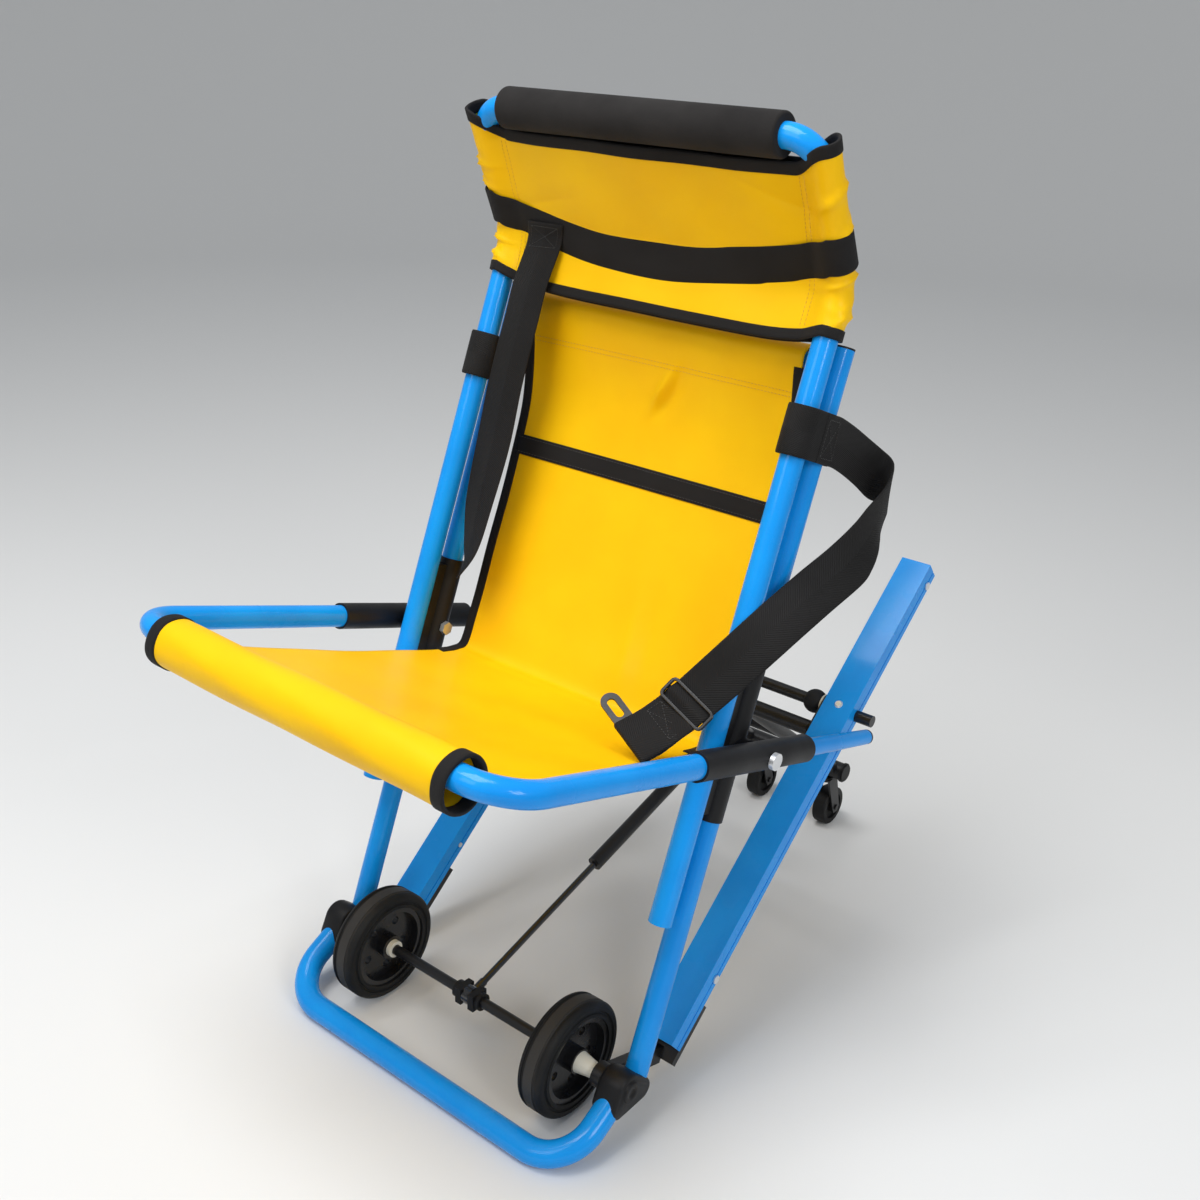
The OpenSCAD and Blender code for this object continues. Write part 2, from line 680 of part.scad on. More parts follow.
module shoulder_strap(side) {
  color(soft_black) place() {
    strap_loop(side);
    ribbon(side > 0 ? strap_left : strap_right, strap_w, strap_t);
  }
}

// Belt tongue: a bar inside the strap's end and a plate with a long hole beside it
module strap_tongue() {
  bar_w = 13;
  edge = strap_w / 2;
  hole_r = 4.5;
  color(soft_black) place() translate(strap_end[0]) rotate([tongue_roll, tongue_pitch, tongue_yaw])
    translate([0, -bar_w / 2 - 2, -(strap_t + tongue_t) / 2 - clear_gap - tongue_t / 2])
    linear_extrude(tongue_t) difference() {
      union() {
        translate([-edge + 4, -bar_w / 2]) square([2 * edge - 2, bar_w]);
        translate([edge + 1, 0]) rotate([0, 0, -90]) stadium(0, tongue_out - tongue_w / 2, tongue_w / 2);
      }
      translate([edge + 8, 0]) rotate([0, 0, -90]) stadium(0, tongue_out - tongue_w / 2 - 8, hole_r);
    }
}

// Seat tube: two sides and the front bar, bent from one length
module seat_tube() {
  back = sleeve_front - tail_socket * 2;
  color(frame_blue) place() seat_axes() tube_path([
    [seat_half_w, 0, back], [seat_half_w, 0, seat_reach],
    [-seat_half_w, 0, seat_reach], [-seat_half_w, 0, back]
  ], tube_d, tube_wall, [seat_bend, seat_bend]);
}

// Black sleeve that joins a side tube to its tail and turns on the pivot bolt
module seat_sleeve(side) {
  back = sleeve_front - tail_socket * 2;
  color(soft_black) place() seat_axes() on_side(side) difference() {
    translate([seat_half_w, 0, -sleeve_back]) cylinder(h = sleeve_front + sleeve_back, d = sleeve_d);
    translate([seat_half_w, 0, back]) cylinder(h = sleeve_front, r = tube_r + run_gap);
    translate([seat_half_w, 0, -sleeve_back - 1])
      cylinder(h = tail_socket + 1, r = tail_d / 2 + run_gap);
    round_x(seat_half_w - sleeve_d, seat_half_w + sleeve_d, bolt_d / 2 + run_gap);
  }
}

// Tail: a short tube that narrows to its end
module seat_tail(side) {
  start = -sleeve_back + tail_socket;
  bore = tail_d / 2 - tube_wall;
  color(frame_blue) place() seat_axes() on_side(side) translate([seat_half_w, 0, -tail_len])
    difference() {
      union() {
        cylinder(h = tail_len - sleeve_back, d1 = tail_end_d, d2 = tail_d);
        translate([0, 0, tail_len - sleeve_back]) cylinder(h = tail_socket, d = tail_d);
      }
      translate([0, 0, -1]) cylinder(h = tail_len + start + 2, r = tail_end_d / 2 - tube_wall);
    }
}

module seat_tail_plugs() {
  rim = 3;
  color(soft_black) place() seat_axes() both() translate([seat_half_w, 0, -tail_len]) {
    translate([0, 0, -rim]) cylinder(h = rim, d = tail_end_d);
    translate([0, 0, -rim]) cylinder(h = rim + 12, r = tail_end_d / 2 - tube_wall - run_gap);
  }
}

// Seat: a loose fabric sleeve round the front bar and a sheet back to the pivots
module seat_panel() {
  roll_r = roll_d / 2;
  half = seat_half_w - seat_bend - 3;
  color(cloth_yellow) place() seat_axes() {
    translate([0, -roll_hang, seat_reach - roll_hang]) difference() {
      round_x(-half, half, roll_r);
      round_x(-half - 1, half + 1, roll_r - cloth_t);
    }
    difference() {
      translate([0, -seat_drop, seat_start]) rotate([-seat_dip, 0, 0])
        translate([-sling_half_w, -cloth_t / 2, 0]) cube([2 * sling_half_w, cloth_t, seat_run]);
      translate([0, -roll_hang, seat_reach - roll_hang])
        round_x(-seat_half_w, seat_half_w, roll_r - cloth_t / 2);
    }
  }
}

// Track rail: a channel with its open side to the rear and a bored cross hole
module track_rail(side) {
  inside = rail_w - 2 * rail_wall;
  lip = 2;
  color(frame_blue) place() lean(track_lean) on_side(side) difference() {
    translate([rail_x - rail_w / 2, rail_front, rail_start]) cube([rail_w, rail_depth, rail_len]);
    translate([rail_x - inside / 2, rail_front + rail_wall, rail_start - 1])
      cube([inside, rail_depth, rail_len + 2]);
    for (v = [-1, 1]) translate([rail_x + v * rail_w / 2 - lip / 2, rail_back + 3, rail_start - 1])
      cube([lip, lip, rail_len + 2]);
    for (hole = [[rod_s, rod_d], [stand_s, stand_rod_d], [lower_pulley_s, pulley_pin_d],
        [upper_pulley_s, pulley_pin_d]])
      translate([0, loop_t, hole[0]]) round_x(rail_x - rail_w, rail_x + rail_w, hole[1] / 2 + run_gap);
    translate([rail_x, rail_front - 1, rod_s]) rotate([-90, 0, 0])
      cylinder(h = rail_wall + 2, r = rivet_d / 2 + run_gap);
  }
}

// Foot of a rail: a pad bolted behind its lower end and an arm down to the axle
module rail_foot(side) {
  pad_front = rail_back + rail_depth / 2 + clear_gap;
  pad_low = rail_start - 16;
  pad_high = rail_start + 56;
  aim = [pad_front + pad_t / 2, pad_low + 4];
  square_aim = [aim[1], -aim[0]] / norm(aim) * foot_arm_r;
  color(soft_black) place() lean(track_lean) on_side(side) difference() {
    union() {
      translate([rail_x - rail_w / 2 + 1, pad_front, pad_low])
        cube([rail_w - 2, pad_t, pad_high - pad_low]);
      round_x(eye_in, eye_out, eye_r);
      side_plate(eye_in, eye_out) polygon([square_aim, aim + square_aim, aim - square_aim, -square_aim]);
    }
    round_x(eye_in - 1, eye_out + 1, axle_d / 2 + run_gap);
    for (s = rail_bolt_places) translate([rail_x, pad_front - 1, s]) rotate([-90, 0, 0])
      cylinder(h = pad_t + 2, d = 8 + 2 * run_gap);
  }
}

rail_bolt_places = [rail_start + 10, rail_start + 42];
rivet_d = 5;
// Bolts of the rail feet, and a rivet in each rail's front face by the upper rod
module rail_bolts() {
  pad_back = rail_back + rail_depth / 2 + clear_gap + pad_t;
  channel = rail_front + rail_wall;
  color(zinc) place() lean(track_lean) both() for (s = rail_bolt_places)
    translate([rail_x, 0, s]) rotate([-90, 0, 0]) {
      translate([0, 0, channel]) cylinder(h = pad_back - channel, d = 8);
      translate([0, 0, pad_back]) cylinder(h = 4, r = 7);
    }
  color(zinc) place() lean(track_lean) both() translate([rail_x, rail_front, rod_s]) rotate([-90, 0, 0]) {
    translate([0, 0, -2]) cylinder(h = 2, r1 = rivet_d / 2 + 1, r2 = rivet_d / 2 + 2.5);
    cylinder(h = rail_wall, d = rivet_d);
  }
}

// Plates inside the rails that tie the two cross rods together
module rod_plates() {
  inner = rail_x - rail_w / 2 - clear_gap;
  color(soft_black) place() lean(track_lean) both() difference() {
    union() {
      for (s = [rod_s, stand_s]) translate([0, loop_t, s]) round_x(inner - 4, inner, 13);
      translate([inner - 4, loop_t - 13, stand_s]) cube([4, 26, rod_s - stand_s]);
    }
    translate([0, loop_t, rod_s]) round_x(inner - 10, inner + 10, rod_d / 2 + run_gap);
    translate([0, loop_t, stand_s]) round_x(inner - 10, inner + 10, stand_rod_d / 2 + run_gap);
  }
}

module upper_cross_rod() {
  color(soft_black) place() lean(track_lean) translate([0, loop_t, rod_s])
    round_x(-rod_half, rod_half, rod_d / 2);
}

collar_out = rail_x - rail_w / 2 - clear_gap * 2 - 4;
washer_t = 2.5;
// Rubber stop on the rod beside each rail
module rod_collars() {
  width = 22;
  color("#262626") place() lean(track_lean) translate([0, loop_t, rod_s]) both() difference() {
    translate([collar_out - washer_t - width / 2, 0, 0]) rotate([0, 90, 0]) rotate_extrude() intersection() {
      circle(14.5);
      translate([0, -width / 2]) square([20, width]);
    }
    round_x(0, collar_out + 10, rod_d / 2 + run_gap);
  }
}

// Pale washer between each stop and the plate beside it
module rod_washers() {
  color(cream) place() lean(track_lean) translate([0, loop_t, rod_s]) both() difference() {
    round_x(collar_out - washer_t, collar_out, rod_d / 2 + 5);
    round_x(0, collar_out + 10, rod_d / 2 + run_gap);
  }
}

module stand_pivot_rod() {
  color(soft_black) place() lean(track_lean) translate([0, loop_t, stand_s])
    round_x(-rail_x - rail_w / 2 - 2, rail_x + rail_w / 2 + 2, stand_rod_d / 2);
}

// Belt: a ribbed loop round both pulleys
module track_belt(side) {
  tooth = 12;
  tooth_depth = 1.2;
  run = upper_pulley_s - lower_pulley_s;
  count = floor(run / tooth);
  color("#161616") place() lean(track_lean) on_side(side) translate([rail_x - belt_w / 2, loop_t, 0])
    side_plate(0, belt_w) difference() {
      translate([0, lower_pulley_s]) stadium(0, run, loop_r);
      translate([0, lower_pulley_s]) stadium(0, run, pulley_r);
      for (k = [0 : count]) translate([loop_r - tooth_depth, lower_pulley_s + k * tooth])
        square([tooth_depth + 1, tooth / 3]);
    }
}

module pulley_pins() {
  color(zinc) place() lean(track_lean) both() for (s = [lower_pulley_s, upper_pulley_s])
    translate([0, loop_t, s]) {
      round_x(rail_x - rail_w / 2 - 1, rail_x + rail_w / 2 + 1, pulley_pin_d / 2);
      round_x(rail_x + rail_w / 2 + clear_gap, rail_x + rail_w / 2 + 2, pulley_pin_d / 2 + 2);
    }
}

// Pulley: a grooved drum inside the belt's loop
module pulley(side, s) {
  half = rail_w / 2 - rail_wall - 3;
  drum_r = pulley_r - run_gap;
  color("#2b2b2b") place() lean(track_lean) translate([side * rail_x, loop_t, s]) rotate([0, 90, 0])
    rotate_extrude() difference() {
      translate([pulley_pin_d / 2 + run_gap, -half])
        square([drum_r - pulley_pin_d / 2 - run_gap, 2 * half]);
      for (k = [1 : groove_count])
        translate([drum_r - groove_depth, k * belt_w / (groove_count + 1) - belt_w / 2 - 1.5])
        square([groove_depth + 1, 3]);
    }
}

// Stand: hub tube, two legs, a tie and the ears for the strut, welded together
module stand_frame() {
  ear_in = strut_d / 2 + 1.5;
  color(soft_black) place() stand_axes() difference() {
    union() {
      round_x(-stand_half, stand_half, stand_d / 2);
      both() translate([stand_leg_x, 0, 0]) cylinder(h = stand_len, d = stand_d - 2);
      translate([0, 0, tie_s]) round_x(-stand_leg_x, stand_leg_x, tie_d / 2);
      both() side_plate(ear_in, ear_in + ear_t) {
        translate([strut_pin_t, strut_pin_s]) circle(ear_r);
        polygon([[-tie_d / 3, tie_s], [strut_pin_t - ear_r, strut_pin_s],
          [strut_pin_t + ear_r * 0.7, strut_pin_s + ear_r * 0.7], [tie_d / 3, tie_s + tie_d / 4]]);
      }
    }
    round_x(-stand_half - 1, stand_half + 1, stand_rod_d / 2 + run_gap);
    translate([0, strut_pin_t, strut_pin_s])
      round_x(-ear_in - 10, ear_in + 10, pin_d / 2 + run_gap);
    translate([0, 0, stand_len]) round_x(-crossbar_half, crossbar_half, crossbar_d / 2 + run_gap);
  }
}

// Crossbar with a blind bore under it for each castor's stem
module stand_crossbar() {
  color(soft_black) place() translate(crossbar) difference() {
    round_x(-crossbar_half, crossbar_half, crossbar_d / 2);
    both() translate([castor_x, 0, -crossbar_d])
      cylinder(h = crossbar_d + stem_in, r = stem_d / 2 + run_gap);
  }
}

module crossbar_caps() {
  cap_t = 5;
  color("#202020") place() translate(crossbar) both() {
    round_x(crossbar_half, crossbar_half + cap_t - 2, crossbar_d / 2 + 1.5);
    round_x(crossbar_half, crossbar_half + cap_t, crossbar_d / 2 - 0.5);
  }
}

// Castor fork: stem, crown and two cheeks that hold the wheel's pin
module castor_fork(side) {
  cheek = 3;
  gap = castor_w / 2 + 1;
  crown_z = castor_height - 7;
  pin_r = 4;
  color("#2a2c2e") place() translate([side * castor_x, crossbar[1], 0]) {
    translate([0, 0, crown_z]) cylinder(h = crossbar[2] + stem_in - 0.5 - crown_z, d = stem_d);
    translate([0, 0, crown_z]) cylinder(h = 6, r = gap + cheek);
    both() side_plate(gap, gap + cheek) polygon([
      [-12, crown_z + 4], [10, crown_z + 4], [castor_trail + 9, castor_r],
      [castor_trail + 5, castor_r - 8], [castor_trail - 5, castor_r - 8], [castor_trail - 9, castor_r]
    ]);
    translate([0, castor_trail, castor_r]) round_x(-gap - cheek - 2, gap + cheek + 2, pin_r);
  }
}

// Castor wheel: a crowned tread on a thinner bored web
module castor_wheel(side) {
  half = castor_w / 2;
  color("#303030") place() translate([side * castor_x, crossbar[1] + castor_trail, castor_r])
    rotate([0, 90, 0]) rotate_extrude() {
      translate([castor_r - 9, -half]) square([6, castor_w]);
      translate([castor_r - 9, -half + 3]) square([9, castor_w - 6]);
      for (v = [-1, 1]) translate([castor_r - 3, v * (half - 3)]) circle(3);
      translate([4 + run_gap, -half + 4]) square([castor_r - 12, castor_w - 8]);
      translate([4 + run_gap, -half]) square([5, castor_w]);
    }
}

// Strut rod with its eye on the axle and a piston inside the cylinder
module strut_rod() {
  color("#4a4d50") place() lean(strut_lean) difference() {
    union() {
      round_x(-strut_eye_half, strut_eye_half, axle_d / 2 + 5);
      cylinder(h = strut_show + strut_rod_inside, d = strut_rod_d);
      cylinder(h = axle_d / 2 + 16, d = strut_rod_d + 2);
      translate([0, 0, strut_show + strut_rod_inside - 12])
        cylinder(h = 12, r = strut_d / 2 - strut_wall - run_gap);
    }
    round_x(-10, 10, axle_d / 2 + run_gap);
  }
}

// Cylinder with a rod guide at its mouth and an eye at its top
module strut_cylinder() {
  guide = 14;
  top = strut_len - strut_neck;
  color("#15181a") place() lean(strut_lean) difference() {
    union() {
      translate([0, 0, strut_show]) cylinder(h = top - strut_show, d = strut_d);
      translate([0, 0, top]) cylinder(h = strut_neck, d = 2 * strut_eye_half - 1);
      translate([0, 0, strut_len]) round_x(-strut_eye_half, strut_eye_half, 8);
      translate([0, 0, strut_len]) round_x(-strut_d / 2 - 0.5, strut_d / 2 + 0.5, pin_d / 2);
    }
    translate([0, 0, strut_show - 1]) cylinder(h = guide + 2, r = strut_rod_d / 2 + run_gap);
    translate([0, 0, strut_show + guide])
      cylinder(h = top - strut_show - guide - 4, r = strut_d / 2 - strut_wall);
  }
}

main_tube(1);  // main_tube_left
main_tube(-1);  // main_tube_right
main_tube_plugs();
top_cross_bar();
foot_bar();
corner_bracket(1);  // corner_bracket_left
corner_bracket(-1);  // corner_bracket_right
pivot_sleeve(1);  // pivot_sleeve_left
pivot_sleeve(-1);  // pivot_sleeve_right
leg_guide(1);  // leg_guide_left
leg_guide(-1);  // leg_guide_right
seat_pivot_bolts();
front_axle();
axle_block();
axle_cones();
front_tyre(1);  // front_tyre_left
front_tyre(-1);  // front_tyre_right
front_hub(1);  // front_hub_left
front_hub(-1);  // front_hub_right
handle_legs();
handle_hoop();
grip_foam();
head_restraint();
back_panel();
shoulder_strap(1);  // shoulder_strap_left
shoulder_strap(-1);  // shoulder_strap_right
strap_tongue();
seat_tube();
seat_sleeve(1);  // seat_sleeve_left
seat_sleeve(-1);  // seat_sleeve_right
seat_tail(1);  // seat_tail_left
seat_tail(-1);  // seat_tail_right
seat_tail_plugs();
seat_panel();
track_rail(1);  // track_rail_left
track_rail(-1);  // track_rail_right
rail_foot(1);  // rail_foot_left
rail_foot(-1);  // rail_foot_right
rail_bolts();
rod_plates();
upper_cross_rod();
rod_collars();
rod_washers();
stand_pivot_rod();
track_belt(1);  // track_belt_left
track_belt(-1);  // track_belt_right
pulley_pins();
pulley(1, upper_pulley_s);  // upper_pulley_left
pulley(-1, upper_pulley_s);  // upper_pulley_right
pulley(1, lower_pulley_s);  // lower_pulley_left
pulley(-1, lower_pulley_s);  // lower_pulley_right
stand_frame();
stand_crossbar();
crossbar_caps();
castor_fork(1);  // castor_fork_left
castor_fork(-1);  // castor_fork_right
castor_wheel(1);  // castor_wheel_left
castor_wheel(-1);  // castor_wheel_right
strut_rod();
strut_cylinder();
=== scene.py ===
import math

import bpy
import numpy as np
from mathutils import Matrix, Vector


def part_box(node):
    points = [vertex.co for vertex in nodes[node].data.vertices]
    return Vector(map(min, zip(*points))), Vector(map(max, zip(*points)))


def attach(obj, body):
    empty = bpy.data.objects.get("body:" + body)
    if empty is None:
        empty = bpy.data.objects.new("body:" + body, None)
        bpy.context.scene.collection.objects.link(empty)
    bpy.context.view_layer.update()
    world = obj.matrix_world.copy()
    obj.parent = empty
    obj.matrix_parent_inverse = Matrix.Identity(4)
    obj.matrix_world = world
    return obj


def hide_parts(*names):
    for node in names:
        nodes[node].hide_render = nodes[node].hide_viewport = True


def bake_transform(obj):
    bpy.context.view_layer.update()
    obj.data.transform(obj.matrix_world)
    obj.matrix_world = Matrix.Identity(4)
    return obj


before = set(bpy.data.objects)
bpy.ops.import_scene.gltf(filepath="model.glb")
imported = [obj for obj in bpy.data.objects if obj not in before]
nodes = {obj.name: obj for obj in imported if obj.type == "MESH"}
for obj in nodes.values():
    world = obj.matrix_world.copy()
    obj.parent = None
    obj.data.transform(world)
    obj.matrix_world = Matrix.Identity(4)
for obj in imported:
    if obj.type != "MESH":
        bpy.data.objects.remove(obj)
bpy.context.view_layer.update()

# Viewpoint: a little over a metre up at the chair's front left, with an ordinary lens.
# The columns of the matrix are the picture's right, its up and the way back to the eye.
eye = np.array([0.883, -1.1361, 1.098])
look = np.array([-0.5728, 0.7166, -0.3978])
across = np.array([0.7720, 0.6349, 0.0322])
look, across = look / np.linalg.norm(look), across / np.linalg.norm(across)
upright = np.cross(across, look)
camera_data = bpy.data.cameras.new("viewpoint")
camera_data.sensor_width, camera_data.lens = 36.0, 41.79
camera = bpy.data.objects.new("viewpoint", camera_data)
bpy.context.scene.collection.objects.link(camera)
turn = np.column_stack([across, upright, -look, eye])
camera.matrix_world = Matrix([*turn.tolist(), [0, 0, 0, 1]])
bpy.context.scene.camera = camera
bpy.context.scene.view_settings.view_transform = "Standard"

# Studio: a wide pale floor that curves up into its own backdrop, an even sky and three soft lamps,
# the strongest of them overhead.
# Height over radius r: 0 to floor_flat, then a quarter circle of radius floor_curve.
floor_flat, floor_curve, floor_steps = 5.0, 3.0, 96
spin = np.arange(floor_steps) / floor_steps * 2 * math.pi
rise = np.linspace(0, math.pi / 2, 24)
floor_r = np.concatenate([[0.0, 1.0, 2.5], floor_flat + floor_curve * np.sin(rise)])
floor_z = np.concatenate([[0.0, 0.0, 0.0], floor_curve * (1 - np.cos(rise))])
floor_points = np.stack([np.outer(np.cos(spin), floor_r), np.outer(np.sin(spin), floor_r),
                         np.tile(floor_z, (floor_steps, 1))], -1)
floor_index = np.arange(floor_steps * len(floor_r)).reshape(floor_steps, -1)
floor_next = np.roll(floor_index, -1, 0)
floor_quads = np.stack([floor_index[:, :-1], floor_index[:, 1:], floor_next[:, 1:], floor_next[:, :-1]], -1)
floor_paint = bpy.data.materials.new("floor_paint")
floor_paint.use_nodes = True
floor_shader = floor_paint.node_tree.nodes["Principled BSDF"]
floor_shader.inputs["Base Color"].default_value = (0.75, 0.75, 0.74, 1)
floor_shader.inputs["Roughness"].default_value = 0.9


def new_piece(name, points, faces, material):
    """Smooth mesh object in one material, from an array of points (..., 3) and lists of their numbers."""
    mesh = bpy.data.meshes.new(name)
    mesh.from_pydata(points.reshape(-1, 3).tolist(), [], faces)
    mesh.polygons.foreach_set("use_smooth", np.ones(len(faces), bool))
    mesh.materials.append(material)
    piece = bpy.data.objects.new(name, mesh)
    bpy.context.scene.collection.objects.link(piece)
    return piece


floor = new_piece("floor", floor_points, floor_quads.reshape(-1, 4).tolist(), floor_paint)
sky = bpy.data.worlds.new("sky")
sky.use_nodes = True
bpy.context.scene.world = sky
sky_light = sky.node_tree.nodes["Background"]
sky_light.inputs["Color"].default_value = (0.90, 0.93, 0.97, 1)
sky_light.inputs["Strength"].default_value = 0.46
for lamp_name, place, aim, size, power in (
        ("ceiling_lamp", (-0.3, -0.9, 3.0), (0.0, -0.1, 0.4), 1.6, 65.0),
        ("front_lamp", (-0.4, -2.6, 2.3), (0.0, 0.0, 0.5), 1.3, 15.0),
        ("side_lamp", (2.6, -0.9, 1.9), (0.0, 0.0, 0.5), 1.0, 26.0)):
    lamp_data = bpy.data.lights.new(lamp_name, "AREA")
    lamp_data.size, lamp_data.energy = size, power
    lamp = bpy.data.objects.new(lamp_name, lamp_data)
    bpy.context.scene.collection.objects.link(lamp)
    back = np.array(place) - np.array(aim)
    back = back / np.linalg.norm(back)
    level = np.cross([0, 0, 1.0], back)
    level = level / np.linalg.norm(level)
    axes = np.column_stack([level, np.cross(back, level), back, place])
    lamp.matrix_world = Matrix([*axes.tolist(), [0, 0, 0, 1]])


# Painted tubes and track rails: steel and aluminium with a glossy light-blue enamel.
# The paint has a faint orange peel, small drifts in shade and duller rubbed patches.
def math_step(tree, operation, *values):
    """Output of a Math node fed with numbers and sockets."""
    node = tree.nodes.new("ShaderNodeMath")
    node.operation = operation
    for socket, value in zip(node.inputs, values):
        if isinstance(value, bpy.types.NodeSocket):
            tree.links.new(value, socket)
        else:
            socket.default_value = float(value)
    return node.outputs[0]


def ranged(tree, value, start, end, low=0.0, high=1.0, eased=True):
    """Output of a Map Range node: start..end to low..high, by smoothstep where eased."""
    node = tree.nodes.new("ShaderNodeMapRange")
    node.interpolation_type = "SMOOTHSTEP" if eased else "LINEAR"
    for socket, number in (("From Min", start), ("From Max", end), ("To Min", low), ("To Max", high)):
        node.inputs[socket].default_value = number
    tree.links.new(value, node.inputs["Value"])
    return node.outputs["Result"]


def cloudy(tree, vector, scale, detail):
    """Output of a Noise node with scale clouds to the metre."""
    node = tree.nodes.new("ShaderNodeTexNoise")
    node.inputs["Scale"].default_value, node.inputs["Detail"].default_value = scale, detail
    tree.links.new(vector, node.inputs["Vector"])
    return node.outputs["Fac"]


def blended(tree, amount, first, second):
    """Colour that goes from first, a colour or a socket, to second as amount goes from 0 to 1."""
    node = tree.nodes.new("ShaderNodeMix")
    node.data_type = "RGBA"
    tree.links.new(amount, node.inputs[0])
    if isinstance(first, bpy.types.NodeSocket):
        tree.links.new(first, node.inputs[6])
    else:
        node.inputs[6].default_value = (*first, 1)
    node.inputs[7].default_value = (*second, 1)
    return node.outputs[2]


def raised(tree, height, strength, distance, under=None):
    """Normal of a Bump node, laid over the normal given as under."""
    node = tree.nodes.new("ShaderNodeBump")
    node.inputs["Strength"].default_value, node.inputs["Distance"].default_value = strength, distance
    tree.links.new(height, node.inputs["Height"])
    if under:
        tree.links.new(under, node.inputs["Normal"])
    return node.outputs["Normal"]


def coating(name, pale, deep, rough, grain, bump, metal=0.0, coat=0.0, sheen=0.0, stretch=(1, 1, 1),
            shine=0.5):
    """Principled shader: colour = pale to deep by 0.35 of a fine noise of size grain (metres) and 0.65
    of a slow one, roughness = rough[0] to rough[1] by the slow noise, bump height from the fine one."""
    made = bpy.data.materials.new(name)
    made.use_nodes = True
    tree = made.node_tree
    shader = tree.nodes["Principled BSDF"]
    fit = tree.nodes.new("ShaderNodeMapping")
    fit.inputs["Scale"].default_value = stretch
    tree.links.new(tree.nodes.new("ShaderNodeTexCoord").outputs["Object"], fit.inputs["Vector"])
    fine = cloudy(tree, fit.outputs["Vector"], 1 / grain, 4)
    slow = cloudy(tree, fit.outputs["Vector"], 14, 5)
    amount = math_step(tree, "MULTIPLY_ADD", fine, 0.35, ranged(tree, slow, 0.25, 0.75, 0.0, 0.65))
    tree.links.new(blended(tree, amount, pale, deep), shader.inputs["Base Color"])
    tree.links.new(ranged(tree, slow, 0.25, 0.75, *rough), shader.inputs["Roughness"])
    tree.links.new(raised(tree, fine, bump, grain / 4), shader.inputs["Normal"])
    for socket, value in (("Metallic", metal), ("Coat Weight", coat), ("Coat Roughness", 0.08),
                          ("Sheen Weight", sheen), ("Specular IOR Level", shine)):
        shader.inputs[socket].default_value = value
    return made


def dress(material, *names):
    """Puts one material on CAD nodes."""
    for name in names:
        nodes[name].data.materials.clear()
        nodes[name].data.materials.append(material)


blue_enamel = coating("blue_enamel", (0.008, 0.320, 0.850), (0.005, 0.245, 0.720), rough=(0.22, 0.34),
                      grain=0.0016, bump=0.05, coat=0.35, shine=0.08)
dress(blue_enamel, "main_tube_left", "main_tube_right", "top_cross_bar", "foot_bar", "handle_legs",
      "handle_hoop", "seat_tube", "seat_tail_left", "seat_tail_right", "track_rail_left", "track_rail_right")

# Moulded black plastic: sleeves, guides, plugs, pulleys and wheel hubs.
# It has a fine spark-eroded grain and a dull sheen; the hubs are glossier.
black_moulding = coating("black_moulding", (0.010, 0.010, 0.011), (0.005, 0.005, 0.006), rough=(0.38, 0.56),
                         grain=0.0007, bump=0.18, shine=0.25)
dress(black_moulding, "main_tube_plugs", "pivot_sleeve_left", "pivot_sleeve_right",
      "leg_guide_left", "leg_guide_right", "seat_sleeve_left", "seat_sleeve_right", "seat_tail_plugs",
      "axle_block", "crossbar_caps", "upper_pulley_left", "upper_pulley_right",
      "lower_pulley_left", "lower_pulley_right")
gloss_moulding = coating("gloss_moulding", (0.010, 0.010, 0.011), (0.006, 0.006, 0.007), rough=(0.20, 0.34),
                         grain=0.0012, bump=0.06)
dress(gloss_moulding, "front_hub_left", "front_hub_right")

# Black steelwork: axle, rail feet, rods, stand, castor forks and gas strut.
# It is powder-coated in satin black, a little rubbed.
black_coat = coating("black_coat", (0.011, 0.011, 0.012), (0.005, 0.005, 0.006), rough=(0.28, 0.46),
                     grain=0.0012, bump=0.10, shine=0.4)
dress(black_coat, "front_axle", "rail_foot_left", "rail_foot_right", "rod_plates", "upper_cross_rod",
      "stand_pivot_rod", "stand_frame", "stand_crossbar", "castor_fork_left", "castor_fork_right",
      "strut_cylinder")

# Bright parts: zinc-plated bolts and pins, and the strut's blackened and polished rod.
# The bolts are turned before they are plated, so their gloss is uneven.
zinc_plate = coating("zinc_plate", (0.82, 0.83, 0.84), (0.66, 0.67, 0.69), rough=(0.26, 0.44),
                     grain=0.0006, bump=0.08, metal=0.8)
dress(zinc_plate, "seat_pivot_bolts", "rail_bolts", "pulley_pins")
polished_rod = coating("polished_rod", (0.016, 0.016, 0.018), (0.009, 0.009, 0.010), rough=(0.14, 0.24),
                       grain=0.0008, bump=0.03, coat=0.5, stretch=(1, 1, 12))
dress(polished_rod, "strut_rod")

# Spacers: turned from cream nylon and left unpainted.
# The cones and bushes are threaded on the axle, the washers on the upper rod.
cream_nylon = coating("cream_nylon", (0.80, 0.77, 0.66), (0.68, 0.64, 0.52), rough=(0.38, 0.55),
                      grain=0.0010, bump=0.08)
dress(cream_nylon, "axle_cones", "rod_washers")

# Rubber: moulded tyres and castor treads, track belts and the rod's stops.
# The belts are new and dark; the front tyres have a greyer band round the tread, worn by floors.
tyre_rubber = coating("tyre_rubber", (0.010, 0.010, 0.010), (0.005, 0.005, 0.005), rough=(0.50, 0.72),
                      grain=0.0014, bump=0.20, shine=0.25)
dress(tyre_rubber, "castor_wheel_left", "castor_wheel_right")
axle_low, axle_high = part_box("front_axle")
axle_y, axle_z = (axle_low[1] + axle_high[1]) / 2, (axle_low[2] + axle_high[2]) / 2
tyre_low, tyre_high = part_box("front_tyre_left")
tread_r, tread_x = (tyre_high[2] - tyre_low[2]) / 2, (tyre_low[0] + tyre_high[0]) / 2


